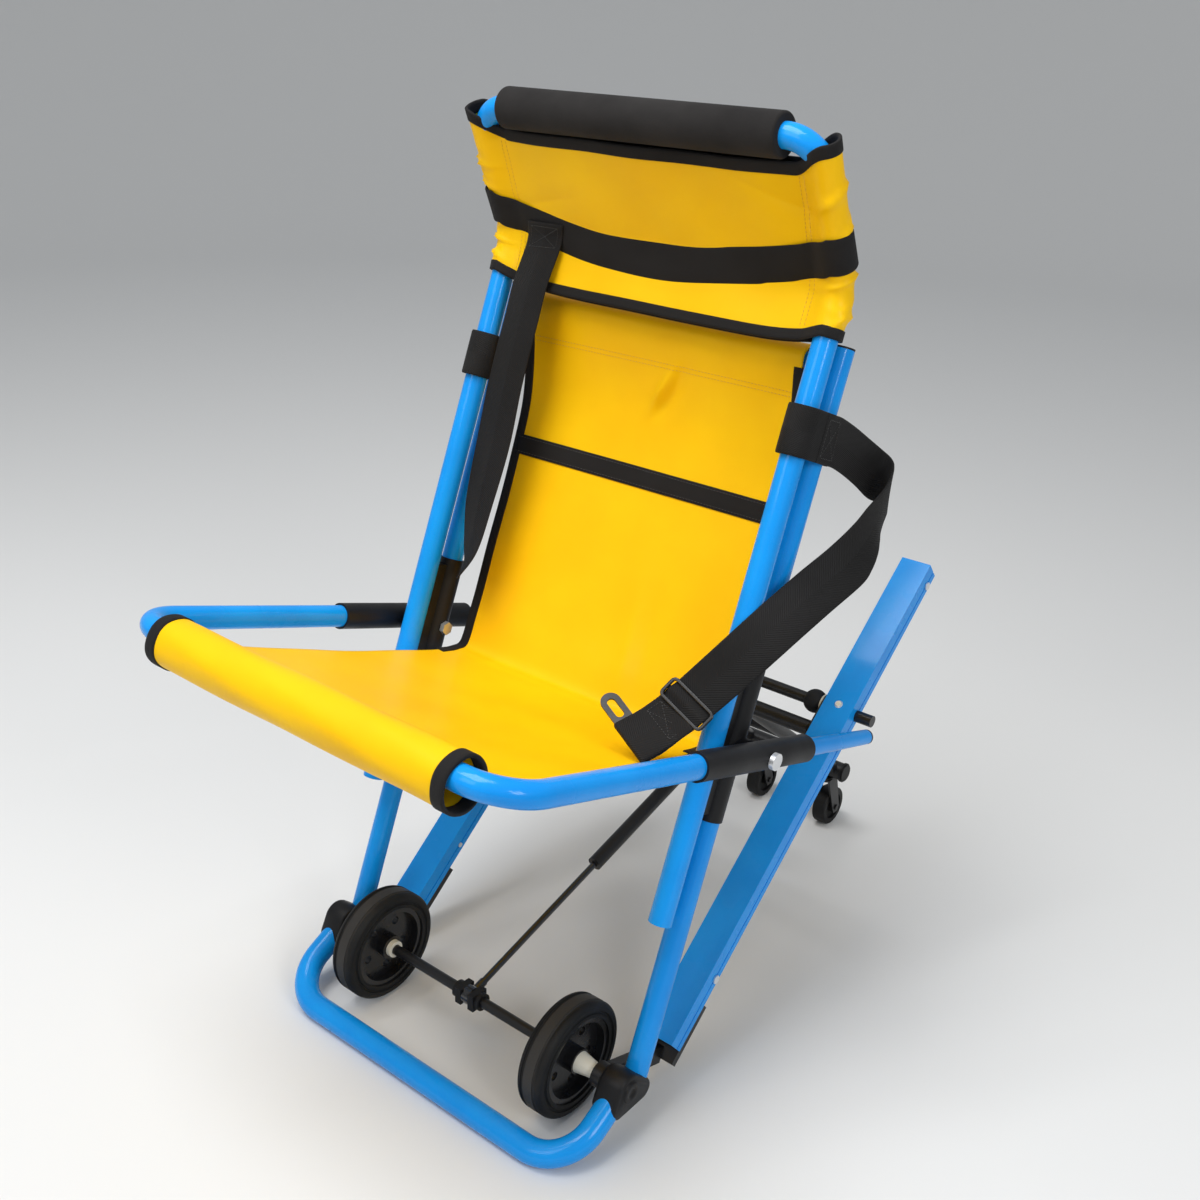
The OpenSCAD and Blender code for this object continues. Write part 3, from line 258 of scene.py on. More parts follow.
def worn_tread(material, worn):
    """Copy of a coating that goes to the worn colour where | |x| - tread_x | is under about 8 mm and
    the distance from the axle's line nears tread_r."""
    made = material.copy()
    made.name = material.name + "_worn"
    tree = made.node_tree
    shader = tree.nodes["Principled BSDF"]
    clean = shader.inputs["Base Color"].links[0].from_socket
    split = tree.nodes.new("ShaderNodeSeparateXYZ")
    tree.links.new(tree.nodes.new("ShaderNodeTexCoord").outputs["Object"], split.inputs["Vector"])
    up = math_step(tree, "SUBTRACT", split.outputs["Z"], axle_z)
    along = math_step(tree, "SUBTRACT", split.outputs["Y"], axle_y)
    squares = math_step(tree, "ADD", math_step(tree, "MULTIPLY", up, up),
                        math_step(tree, "MULTIPLY", along, along))
    aside = math_step(tree, "SUBTRACT", math_step(tree, "ABSOLUTE", split.outputs["X"]), tread_x)
    near_rim = ranged(tree, math_step(tree, "SQRT", squares), tread_r - 0.004, tread_r - 0.001)
    near_middle = ranged(tree, math_step(tree, "ABSOLUTE", aside), 0.010, 0.006)
    amount = math_step(tree, "MULTIPLY", near_rim, near_middle)
    tree.links.new(blended(tree, amount, clean, worn), shader.inputs["Base Color"])
    return made


tread_rubber = worn_tread(tyre_rubber, (0.036, 0.034, 0.032))
dress(tread_rubber, "front_tyre_left", "front_tyre_right")
belt_rubber = coating("belt_rubber", (0.012, 0.012, 0.013), (0.006, 0.006, 0.007), rough=(0.50, 0.70),
                      grain=0.0010, bump=0.16, shine=0.3)
dress(belt_rubber, "track_belt_left", "track_belt_right", "rod_collars")

# Grip: a tube of closed-cell foam, pushed over the handle's top bar.
# Its skin is dull and finely pored.
foam_skin = coating("foam_skin", (0.021, 0.019, 0.018), (0.009, 0.008, 0.008), rough=(0.80, 0.95),
                    grain=0.0011, bump=0.55, sheen=0.03, shine=0.2)
dress(foam_skin, "grip_foam")


# Corner brackets: a compact black moulding at each end of the axle, which takes the main tube and the
# foot bar. Its outline is the hull of three rounds: one on the axle and one at the end of each tube.
recline = math.radians(21.3)


def on_back(x, t, s):
    """Point on the leaning back: s along the main tubes from the axle, t square to them to the rear."""
    x, t, s = np.broadcast_arrays(np.asarray(x, float), t, s)
    return np.stack([x, axle_y + np.sin(recline) * s + np.cos(recline) * t,
                     axle_z + np.cos(recline) * s - np.sin(recline) * t], -1)


bracket_in, bracket_out, bracket_steps = 0.197, 0.2275, 72
hubs = np.array([[axle_y, axle_z], on_back(0.0, 0.027, -0.004)[1:], [axle_y - 0.0136, axle_z - 0.0145]])
hub_r = np.array([0.0185, 0.0128, 0.0125])
bracket_angle = np.arange(bracket_steps) / bracket_steps * 2 * math.pi
bracket_way = np.stack([np.cos(bracket_angle), np.sin(bracket_angle)], -1)
nearest = np.argmax(bracket_way @ hubs.T + hub_r, axis=1)
bracket_rows = [(x, hubs[nearest] + (hub_r[nearest] - inset)[:, None] * bracket_way) for x, inset in (
    (bracket_in, .0035), (bracket_in + .001, .0012), (bracket_in + .0035, 0), (bracket_out - .0035, 0),
    (bracket_out - .001, .0012), (bracket_out, .0035))]
bracket_rows += [(bracket_out + step, hubs[0] + radius * bracket_way) for step, radius in (
    (0, .0118), (.0022, .0118), (.0030, .0108), (.0030, .0054), (.0016, .0046))]
for side_name, sign in (("left", 1), ("right", -1)):
    rings = np.stack([np.column_stack([np.full(bracket_steps, sign * x), outline])
                      for x, outline in bracket_rows])
    index = np.arange(len(rings) * bracket_steps).reshape(-1, bracket_steps)[:, ::sign]
    now, nxt = index[:-1], index[1:]
    quads = np.stack([now, np.roll(now, -1, 1), np.roll(nxt, -1, 1), nxt], -1).reshape(-1, 4)
    ends = [index[0, ::-1].tolist(), index[-1].tolist()]
    bracket = new_piece("bracket_" + side_name, rings, quads.tolist() + ends, black_moulding)
    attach(bracket, "frame")
    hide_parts("corner_bracket_" + side_name)


# Head restraint: a sleeve of coated yellow fabric pulled over the handle's bend.
# It is sewn into a tube pocket at each side and lies nearly flat between the two seams.
forward_lean = math.radians(22.4)
leg_t, main_t = -0.011, 0.027
bend_radius = 0.060
bend_s = 0.836
pocket_x, pocket_r, layer_gap = 0.213, 0.0142, 0.0042


def smooth(a):
    """Smoothstep of a, clipped to 0..1: 3a^2 - 2a^3."""
    a = np.clip(a, 0, 1)
    return a * a * (3 - 2 * a)


sleeve_below, sleeve_above = 0.048, 0.1235
bend_angle = recline + forward_lean
bend_cut = bend_radius * math.tan(bend_angle / 2)
sleeve_runs = (sleeve_below - bend_cut, bend_radius * bend_angle, sleeve_above - bend_cut)
sleeve_height = sum(sleeve_runs)


def along_handle(w):
    """Place and rearward direction on the handle's axis, w metres up from the sleeve's lower edge:
    a straight run, an arc of bend_radius, then a straight run leaning forward."""
    w = np.asarray(w, float)
    low = np.minimum(w, sleeve_runs[0])
    arc = np.clip(w - sleeve_runs[0], 0, sleeve_runs[1]) / bend_radius
    high = np.maximum(w - sleeve_runs[0] - sleeve_runs[1], 0)
    start = on_back(0.0, leg_t, bend_s - sleeve_below)
    tilt = recline - arc
    y = (start[1] + np.sin(recline) * low + bend_radius * (np.cos(tilt) - np.cos(recline))
         + np.sin(tilt) * high)
    z = (start[2] + np.cos(recline) * low + bend_radius * (np.sin(recline) - np.sin(tilt))
         + np.cos(tilt) * high)
    return np.stack([0 * y, y, z], -1), np.stack([0 * y, np.cos(tilt), -np.sin(tilt)], -1)


def sleeve_section(turn_part, lift):
    """Closed outline round the two tubes for turn_part 0..1, lift metres outside the cloth:
    front layer, half circle, back layer, half circle. Returns x and rearward offset."""
    straight, bow = 2 * pocket_x, math.pi * pocket_r
    walk = (np.asarray(turn_part, float) % 1) * 2 * (straight + bow)
    side = walk >= straight + bow
    run = np.where(side, walk - straight - bow, walk)
    x = np.clip(run, 0, straight) - pocket_x
    gap = layer_gap + 0.0030 * (1 - (x / pocket_x) ** 2)
    gap = gap + (pocket_r - layer_gap) * smooth((np.abs(x) - 0.186) / 0.027)
    gap = np.minimum(gap, pocket_r) + lift
    angle = np.clip(run - straight, 0, bow) / pocket_r
    x = np.where(run > straight, pocket_x + np.sin(angle) * (pocket_r + lift), x)
    n = np.where(run > straight, -np.cos(angle) * (pocket_r + lift), -gap)
    return np.where(side, -x, x), np.where(side, -n, n)


def band_rise(x, n):
    """Height up the sleeve of the head band's middle line: level behind, sagging across the front."""
    part = x / pocket_x
    sag = np.where((n < 0) & (np.abs(part) <= 1), 1 - (part + 0.06 * (1 - part ** 2)) ** 2, 0.0)
    return 0.084 - 0.040 * np.clip(sag, 0, 1) ** 0.8


def sleeve_point(turn_part, w, lift=0.0):
    """Point of the sleeve: the section carried up the handle, with puckers in the pockets, creases beside
    them, an upper edge that rises at both ends and a lower edge that sags between them.
    The head band presses it flat."""
    x, n = sleeve_section(turn_part, lift)
    end = smooth((np.abs(x) - 0.180) / 0.040)
    w = w + 0.024 * end * smooth((w / sleeve_height - 0.72) / 0.28)
    ridge = 1 - np.abs(np.sin((w - 0.35 * (np.abs(x) + n)) * 105 + 0.8 * np.sin(w * 61 + 2 * np.sign(x))))
    cross_ridge = 1 - np.abs(np.sin(w * 83 - n * 70 + x * 40 + 1))
    pucker = end * (0.0036 * ridge ** 3 + 0.0013 * cross_ridge ** 2) * smooth((w + 0.002) / 0.024)
    pucker = pucker * (1 - smooth((w / sleeve_height - 0.80) / 0.15))
    crease = 1 - np.abs(np.sin(w * 38 + np.abs(x) * 22 + 1.4 * np.sin(x * 9 + 1)))
    ease = (1 - end) * (0.0018 * np.sin(w * 33 + x * 19) * np.sin(x * 31 + 1.3)
                        + 0.0018 * crease ** 3 * smooth((np.abs(x) - 0.06) / 0.10))
    free = 1 - 0.9 * np.exp(-((w - band_rise(x, n)) / 0.022) ** 2)
    pucker, ease = pucker * free, ease * free
    drop = 0.0125 * (1 - (np.minimum(np.abs(x), pocket_x) / pocket_x) ** 6) + 0.002 * (1 + x / 0.230)
    w = w - drop * (1 - smooth(w / 0.055))
    place, rear = along_handle(w)
    n = n + np.sign(n) * pucker + ease
    return place + rear * n[..., None] + np.stack([x + np.sign(x) * pucker, 0 * x, 0 * x], -1)


cloth_thick = 0.0012


def cloth_mesh(name, points, uv, material, loop=False):
    """Mesh from a grid of points (rows, columns, 3) with uv in metres. loop joins the last row to the first.
    A Solidify modifier gives the wall its thickness."""
    rows, cols = points.shape[:2]
    index = np.arange(rows * cols).reshape(rows, cols)
    upper = np.roll(index, -1, 0) if loop else index[1:]
    lower = index if loop else index[:-1]
    quads = np.stack([lower[:, :-1], lower[:, 1:], upper[:, 1:], upper[:, :-1]], -1).reshape(-1, 4)
    piece = new_piece(name, points, quads.tolist(), material)
    uv_low = uv if loop else uv[:-1]
    uv_up = np.concatenate([uv[1:], uv[-1:] + uv[1:2] - uv[:1]]) if loop else uv[1:]
    corner = np.stack([uv_low[:, :-1], uv_low[:, 1:], uv_up[:, 1:], uv_up[:, :-1]], 2)
    piece.data.uv_layers.new(name="cut").data.foreach_set("uv", corner.astype(np.float32).reshape(-1))
    wall = piece.modifiers.new("wall", "SOLIDIFY")
    wall.thickness, wall.offset = cloth_thick, 0.0
    return piece


def woven(name, pale, deep, rough, thread, relief, sheen=0.0, coat=0.0, twill=False, shine=0.2):
    """Cloth shader on the cut's own uv in metres: two crossed waves of the thread's pitch, or one wave
    on u + |v| for herringbone webbing, over a slow drift of shade and gloss."""
    made = bpy.data.materials.new(name)
    made.use_nodes = True
    tree = made.node_tree
    shader = tree.nodes["Principled BSDF"]
    place = tree.nodes.new("ShaderNodeUVMap")
    place.uv_map = "cut"
    split = tree.nodes.new("ShaderNodeSeparateXYZ")
    tree.links.new(place.outputs["UV"], split.inputs["Vector"])
    u, v = split.outputs["X"], split.outputs["Y"]
    pitch = 2 * math.pi / thread
    if twill:
        slant = math_step(tree, "ADD", u, math_step(tree, "ABSOLUTE", v))
        weave = math_step(tree, "SINE", math_step(tree, "MULTIPLY", slant, pitch))
    else:
        weft, warp = (math_step(tree, "SINE", math_step(tree, "MULTIPLY", way, pitch)) for way in (u, v))
        weave = math_step(tree, "MULTIPLY", weft, warp)
    drift = cloudy(tree, tree.nodes.new("ShaderNodeTexCoord").outputs["Object"], 9, 6)
    level = ranged(tree, drift, 0.3, 0.7, eased=False)
    amount = math_step(tree, "ADD", math_step(tree, "MULTIPLY", level, 0.7),
                       math_step(tree, "MULTIPLY", math_step(tree, "ADD", weave, 1.0), 0.14))
    tree.links.new(blended(tree, amount, pale, deep), shader.inputs["Base Color"])
    tree.links.new(ranged(tree, drift, 0.0, 1.0, *rough, eased=False), shader.inputs["Roughness"])
    threads = raised(tree, weave, relief, thread / 3)
    tree.links.new(raised(tree, drift, 0.12, 0.01, threads), shader.inputs["Normal"])
    for socket, value in (("Sheen Weight", sheen), ("Coat Weight", coat), ("Coat Roughness", 0.22),
                          ("Specular IOR Level", shine)):
        shader.inputs[socket].default_value = value
    return made


yellow_cloth = woven("yellow_cloth", (0.960, 0.580, 0.004), (0.890, 0.485, 0.002), rough=(0.34, 0.50),
                     thread=0.0011, relief=0.22, coat=0.10, shine=0.08)
black_tape = woven("black_tape", (0.014, 0.013, 0.013), (0.007, 0.006, 0.006), rough=(0.66, 0.85),
                   thread=0.0012, relief=0.45, sheen=0.02)
sleeve_steps = 420
sleeve_turns = np.arange(sleeve_steps) / sleeve_steps
sleeve_rise = np.linspace(0, 1, 72)
sleeve_grid = np.meshgrid(sleeve_turns, sleeve_rise * sleeve_height, indexing="ij")
sleeve_girth = 2 * (2 * pocket_x + math.pi * pocket_r)
head_sleeve = cloth_mesh("head_sleeve", sleeve_point(*sleeve_grid),
                         np.stack([sleeve_grid[0] * sleeve_girth, sleeve_grid[1]], -1), yellow_cloth,
                         loop=True)
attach(head_sleeve, "handle")
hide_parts("head_restraint")


# Bindings of the sleeve: woven black tape, folded over its upper and lower edges.
# Each is one closed ring, sewn through the cloth.
def run_along(points):
    """Distance of each point from the first, along the line that they make."""
    return np.concatenate([[0], np.cumsum(np.linalg.norm(np.diff(points, axis=0), axis=1))])


def tape_mesh(name, centre, side, out, width, thick, material, closed=False):
    """Tape: a flat rounded section, width along side and thick along out, carried along the centre points.
    uv runs in metres along the tape and across it from its middle."""
    rim = np.array([[-.5, -.2], [-.46, -.5], [-.2, -.5], [.2, -.5], [.46, -.5], [.5, -.2],
                    [.5, .2], [.46, .5], [.2, .5], [-.2, .5], [-.46, .5], [-.5, .2]])
    rings = (centre[:, None] + side[:, None] * rim[None, :, :1] * width
             + out[:, None] * rim[None, :, 1:] * thick)
    rows, around = rings.shape[:2]
    index = np.arange(rows * around).reshape(rows, around)
    nxt = np.roll(index, -1, 0) if closed else index[1:]
    now = index if closed else index[:-1]
    faces = np.stack([now, np.roll(now, -1, 1), np.roll(nxt, -1, 1), nxt], -1).reshape(-1, 4).tolist()
    run = run_along(np.concatenate([centre, centre[:1]]) if closed else centre)
    low, high = (np.broadcast_to(r[:, None], (len(r), around)) for r in (run[:-1], run[1:]))
    here = np.broadcast_to(rim[:, 0] * width, low.shape)
    there = np.roll(here, -1, 1)
    uv = np.stack([np.stack([low, low, high, high], -1), np.stack([here, there, there, here], -1)], -1)
    uv = uv.reshape(-1, 2)
    if not closed:
        faces += [index[0, ::-1].tolist(), index[-1].tolist()]
        uv = np.concatenate([uv, np.zeros((2 * around, 2))])
    piece = new_piece(name, rings, faces, material)
    piece.data.uv_layers.new(name="cut").data.foreach_set("uv", uv.astype(np.float32).reshape(-1))
    piece.data.update()
    return piece


def unit(v):
    """Vectors divided by their lengths."""
    return v / np.maximum(np.linalg.norm(v, axis=-1, keepdims=True), 1e-12)


def round_out(ring, side):
    """Direction square to a closed ring of points and to its side direction."""
    return unit(np.cross(unit(np.roll(ring, -1, 0) - np.roll(ring, 1, 0)), side))


def sleeve_ring(name, w, lift, width, thick):
    """Tape round the sleeve at height w (a number or one per turn): side follows the handle upwards,
    out is square to the tape's own run."""
    w = np.broadcast_to(np.asarray(w, float), sleeve_turns.shape)
    centre = sleeve_point(sleeve_turns, w, lift)
    side = unit(sleeve_point(sleeve_turns, w + 0.002, lift) - sleeve_point(sleeve_turns, w - 0.002, lift))
    return tape_mesh(name, centre, side, round_out(centre, side), width, thick, black_tape, closed=True)


sleeve_upper_tape = sleeve_ring("sleeve_upper_tape", sleeve_height - 0.005, lift=0.0, width=0.013,
                                thick=0.0034)
sleeve_lower_tape = sleeve_ring("sleeve_lower_tape", 0.005, lift=0.0, width=0.011, thick=0.0040)
for tape in (sleeve_upper_tape, sleeve_lower_tape):
    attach(tape, "handle")

# Head band: a loose loop of wide black webbing round the sleeve, which sags across the front.
# It is held by friction alone, so it presses the cloth flat under it.
band_width, band_lift = 0.038, 0.0028
band_x, band_n = sleeve_section(sleeve_turns, 0.0)
band_height = band_rise(band_x, band_n)
head_band = sleeve_ring("head_band", band_height, band_lift, band_width, thick=0.0022)
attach(head_band, "handle")
band_length = float(run_along(sleeve_point(sleeve_turns, band_height, band_lift))[-1])


# Hammock: one length of coated fabric, looped over the top bar, bowed behind the frame
# and carried forward along the seat to the front roll. Its middle hangs lower than its edges.
seat_rise = math.radians(17.5)
seat_pivot = on_back(0.0, main_t, 0.372)
hammock_width = 0.380


def on_seat(x, up, fwd):
    """Point on the seat: fwd from its pivot towards the front bar, up square to that."""
    x, up, fwd = np.broadcast_arrays(np.asarray(x, float), up, fwd)
    return np.stack([x, seat_pivot[1] + up * np.sin(seat_rise) - fwd * np.cos(seat_rise),
                     seat_pivot[2] + up * np.cos(seat_rise) + fwd * np.sin(seat_rise)], -1)


def at_run(where, run, rows):
    """Rows interpolated straight between their own lengths run, at the lengths where."""
    return np.stack([np.interp(where, run, rows[:, k]) for k in range(rows.shape[1])], -1)


def through(points, count):
    """Catmull-Rom curve through the points, resampled to count points at equal steps of its length."""
    points = np.asarray(points, float)
    ends = np.concatenate([[2 * points[0] - points[1]], points, [2 * points[-1] - points[-2]]])
    part = np.linspace(0, 1, 40, endpoint=False)[:, None]
    fine = [0.5 * (2 * b + (c - a) * part + (2 * a - 5 * b + 4 * c - d) * part ** 2
                   + (3 * b - a - 3 * c + d) * part ** 3)
            for a, b, c, d in zip(ends[:-3], ends[1:-2], ends[2:-1], ends[3:])]
    fine = np.concatenate([*fine, points[-1:]])
    run = run_along(fine)
    return at_run(np.linspace(0, run[-1], count), run, fine)


bar_s, bar_wrap = 0.765, 0.0150
wrap_turn = np.radians(np.linspace(-10, 190, 9))
hammock_line = through(np.concatenate([
    on_back(0.0, np.array([.0375, .0395]), np.array([.718, .738])),
    on_back(0.0, main_t + bar_wrap * np.cos(wrap_turn), bar_s + bar_wrap * np.sin(wrap_turn)),
    on_back(0.0, np.array([.0165, .0250, .0345, .0430, .0484, .0508, .0512, .0510, .0506, .0498]),
            np.array([.748, .728, .702, .672, .640, .590, .530, .470, .430, .400])),
    on_seat(0.0, np.array([-.0120, -.0195, -.0215, -.0222, -.0220, -.0200, -.0165, -.0125]),
            np.array([-.0200, -.0060, .0160, .0550, .1200, .2000, .2800, .3580]))]), 260)
hammock_run = run_along(hammock_line)
hammock_length = float(hammock_run[-1])
hammock_ahead = unit(np.gradient(hammock_line, axis=0))
hammock_face = unit(np.cross(hammock_ahead, [1.0, 0, 0]))
hammock_face = hammock_face * -np.sign(hammock_face[len(hammock_line) // 2, 1])
past_hem = 40


def run_near(place):
    """Length along the hammock, past its hem, at the line's nearest point to a place."""
    away = np.linalg.norm(hammock_line[past_hem:] - place, axis=1)
    return float(hammock_run[past_hem + np.argmin(away)])


corner_run = run_near(on_seat(0.0, -.0120, -.0200))
crease_run = run_near(on_back(0.0, .0345, .702))


def hammock_point(u, run, lift=0.0):
    """Point of the hammock, u = -1..1 across it and run metres along it from the top hem.
    Offset along the face = lift - sag (1 - u^2) + creases, each crease a stretched Gaussian."""
    u, run = np.broadcast_arrays(np.asarray(u, float), np.asarray(run, float))
    spot = at_run(run, hammock_run, hammock_line)
    face = unit(at_run(run, hammock_run, hammock_face))
    half = 0.182 + 0.015 * smooth((run - corner_run - 0.05) / 0.30)
    x = u * half
    body = smooth((run - 0.10) / 0.10) * smooth((hammock_length - run) / 0.06)
    near_corner = np.exp(-((run - corner_run) / 0.045) ** 2)
    sag = body * (0.0055 + 0.0035 * smooth((run - corner_run) / 0.1)) * (1 - 0.85 * near_corner)
    along, off = run - crease_run, x - 0.010
    pinch = np.exp(-((off + 0.55 * along) / 0.0055) ** 2 - ((along - 0.35 * off) / 0.024) ** 2)
    dimple = np.exp(-((off + 0.55 * along - 0.012) / 0.010) ** 2 - ((along - 0.35 * off) / 0.034) ** 2)
    fold = (np.exp(-((x - 0.045 - 0.05 * (run - corner_run)) / 0.011) ** 2)
            - 0.8 * np.exp(-((x - 0.072 - 0.05 * (run - corner_run)) / 0.013) ** 2))
    fold = fold * np.exp(-((run - corner_run + 0.065) / 0.060) ** 2)
    ripple = 0.0007 * np.sin(run * 41 + x * 9) * np.sin(x * 23 + run * 13 + 0.8)
    offset = lift - sag * (1 - u * u) + 0.0068 * pinch - 0.0045 * dimple + 0.0024 * fold + ripple * body
    return spot + face * offset[..., None] + np.stack([x, 0 * x, 0 * x], -1)


across_u, down_run = np.meshgrid(np.linspace(-1, 1, 121), hammock_run, indexing="ij")
hammock = cloth_mesh("hammock", hammock_point(across_u, down_run),
                     np.stack([across_u * hammock_width / 2, down_run], -1), yellow_cloth)
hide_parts("back_panel", "seat_panel")
fold_start = on_back(0.0, 0.051, 0.400)
fold_end = on_seat(0.0, -0.0215, 0.030)
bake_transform(hammock)

# Edge tapes and cross band of the hammock's back, sewn on in black.
# The band lies on the front of the cloth; the edge tapes fold round its sides and end on the seat.
edge_runs = np.linspace(0.105, corner_run + 0.045, 120)
hammock_tapes = []
for side_name, edge_u in (("left", 1.0), ("right", -1.0)):
    rim = hammock_point(edge_u * 0.985, edge_runs)
    inward = np.tile([-edge_u, 0.0, 0.0], (len(rim), 1))
    way = unit(np.gradient(rim, axis=0))
    hammock_tapes.append(tape_mesh("hammock_edge_" + side_name, rim, inward, unit(np.cross(way, inward)),
                                   width=0.012, thick=0.0036, material=black_tape))
band_run = run_near(on_back(0.0, .0500, .607))
band_u = np.linspace(-0.985, 0.985, 90)
band_line, band_above, band_below = (hammock_point(band_u, band_run + shift, 0.0014)
                                     for shift in (0, -.004, .004))
band_side = unit(band_below - band_above)
band_way = unit(np.gradient(band_line, axis=0))
hammock_tapes.append(tape_mesh("hammock_band", band_line, band_side, unit(np.cross(band_way, band_side)),
                               width=0.023, thick=0.0014, material=black_tape))
for tape in hammock_tapes:
    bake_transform(tape)

# Front roll: the hammock's end sewn into a loose sleeve round the seat's front bar.
# Its open ends are bound with black tape.
roll_half, roll_r = 0.199, 0.0252
roll_up, roll_fwd, roll_steps = -0.00738, 0.38462, 72
roll_turn = np.arange(roll_steps) / roll_steps * 2 * math.pi
roll_x = np.linspace(-roll_half, roll_half, 90)


def roll_point(angle, x, lift=0.0):
    """Sleeve round the front bar: a circle of roll_r, with a slack that ripples round and along it."""
    angle, x = np.broadcast_arrays(np.asarray(angle, float), np.asarray(x, float))
    slack = 0.0007 * np.sin(x * 27 + 2 * angle) * np.sin(angle * 3 + x * 11)
    radius = roll_r + lift + slack
    return on_seat(x, roll_up + radius * np.sin(angle), roll_fwd + radius * np.cos(angle))


roll_grid = np.meshgrid(roll_turn, roll_x, indexing="ij")
front_roll = cloth_mesh("front_roll", roll_point(*roll_grid),
                        np.stack([roll_grid[0] * roll_r, roll_grid[1]], -1), yellow_cloth, loop=True)
roll_tapes = []
for side_name, end_x in (("left", roll_half - 0.006), ("right", 0.006 - roll_half)):
    ring = roll_point(roll_turn, end_x)
    side = np.tile([1.0, 0, 0], (roll_steps, 1))
    roll_tapes.append(tape_mesh("roll_binding_" + side_name, ring, side, round_out(ring, side),
                                width=0.014, thick=0.0036, material=black_tape, closed=True))
for piece, slot_name in ((front_roll, "yellow_fabric"), (roll_tapes[0], "webbing"),
                         (roll_tapes[1], "webbing")):
    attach(piece, "seat")

# Belt loops: a turn of herringbone webbing round each handle leg and its main tube, over the guide.
# Both are pulled tight, and the left belt is sewn to the left one.
webbing = woven("webbing", (0.013, 0.012, 0.012), (0.006, 0.006, 0.006), rough=(0.60, 0.80),
                thread=0.0026, relief=0.4, sheen=0.02, twill=True)
belt_width, belt_thick = 0.050, 0.0022
leg_x, loop_s = 0.213, 0.692
tube_r, guide_wall, half_belt = 0.0125, 0.003, 0.0013
lean_up = np.array([0.0, math.sin(recline), math.cos(recline)])
loop_r = tube_r + guide_wall + half_belt
loop_turn = np.linspace(0, math.pi, 24)
loop_t = np.concatenate([main_t + loop_r * np.sin(loop_turn), leg_t - loop_r * np.sin(loop_turn)])
loop_x = np.concatenate([loop_r * np.cos(loop_turn), -loop_r * np.cos(loop_turn)])
for side_name, sign in (("left", 1), ("right", -1)):
    ring = on_back(sign * (leg_x + loop_x), loop_t, loop_s)
    side = np.tile(lean_up, (len(ring), 1))
    belt_loop = tape_mesh("belt_loop_" + side_name, ring, side, round_out(ring, side), belt_width, belt_thick,
                          webbing, closed=True)
    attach(belt_loop, "frame")


# Left belt: webbing that leaves its loop, turns over in a soft slanting fold and falls across the seat tube
# to the seat, where a slider takes up its slack and its end is folded round the tongue and sewn.
def belt_mesh(name, points, widths, count, upper=0, hump=None):
    """Webbing along a smooth curve through points, its width turning through the directions widths.
    hump = (place, height, spread) lifts the points before number upper by height exp(-(d / spread)^2),
    with d their distance from place."""
    rows = through(np.concatenate([points, widths * 0.02], 1), count)
    centre, wide = rows[:, :3], rows[:, 3:]
    way = unit(np.gradient(centre, axis=0))
    side = unit(wide)
    face = unit(np.cross(way, side))
    length = float(run_along(centre)[-1])
    if hump:
        away = np.linalg.norm(centre[:upper] - hump[0], axis=1)
        centre[:upper] += face[:upper] * (hump[1] * np.exp(-(away / hump[2]) ** 2))[:, None]
    piece = tape_mesh(name, centre, side, face, belt_width, belt_thick, webbing)
    return piece, length, centre, side, face


# Each row gives x, t and s on the leaning back, then the direction of the belt's width.
wall_x = leg_x + loop_r + 0.0006
left_rows = np.array([
    (wall_x, .0040, loop_s, *lean_up), (.2304, .0180, loop_s, *lean_up),
    (.2302, .0390, .692, -.06, .36, .93), (.2315, .0667, .688, -.06, .43, .90),
    (.2349, .0966, .681, -.02, .47, .88), (.2398, .1185, .674, .12, .40, .91),
    (.2493, .1247, .669, .30, .00, .96), (.2586, .1206, .664, .24, -.28, .92),
    (.2638, .1129, .655, .19, -.40, .88), (.2658, .1045, .643, .14, -.40, .88),
    (.2675, .0964, .633, .04, -.39, .90), (.2690, .0888, .623, -.10, -.48, .86),
    (.2700, .0805, .609, -.27, -.54, .79), (.2696, .0696, .593, -.48, -.46, .74),
    (.2682, .0536, .576, -.68, -.30, .66), (.2584, .0270, .546, -.76, -.17, .62),
    (.2491, .0012, .516, -.77, -.16, .61), (.2352, -.0190, .482, -.80, -.16, .57),
    (.2164, -.0330, .445, -.86, -.12, .48), (.1962, -.0473, .4075, -.90, .05, .42)])
seat_end = on_seat(np.array([.178, .168]), np.array([.012, -.004]), np.array([.090, .112]))
left_points = np.concatenate([on_back(*left_rows[:, :3].T), seat_end])
left_widths = np.concatenate([left_rows[:, 3:], [(-.88, .20, .43), (-.88, .20, .43)]])
end_way = unit(left_points[-1] - left_points[-2])
end_side = unit(left_widths[-1] - end_way * (left_widths[-1] @ end_way))
end_up = unit(np.cross(end_side, end_way))
fold_turn, fold_r = np.radians([45, 90, 135, 180]), .003
hem = np.concatenate([
    left_points[-1] + fold_r * (np.outer(np.sin(fold_turn), end_way)
                                - np.outer(1 - np.cos(fold_turn), end_up)),
    left_points[-1] - np.outer([.012, .024], end_way) - np.outer([.0058, .0050], end_up),
    left_points[[-3]] - end_up * .0026 + end_way * .010])
hem_widths = np.tile(end_side, (len(hem), 1))
slider_spot = left_points[-3]
left_count, left_upper = 360, 324
left_belt, left_length, left_line, left_side, left_face = belt_mesh(
    "left_belt", np.concatenate([left_points, hem]), np.concatenate([left_widths, hem_widths]), left_count,
    left_upper, (slider_spot, -.0030, .006))
below_fold = 15
left_bend = tuple(left_points[below_fold]), tuple(left_points[-2])
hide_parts("shoulder_strap_left")
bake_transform(left_belt)

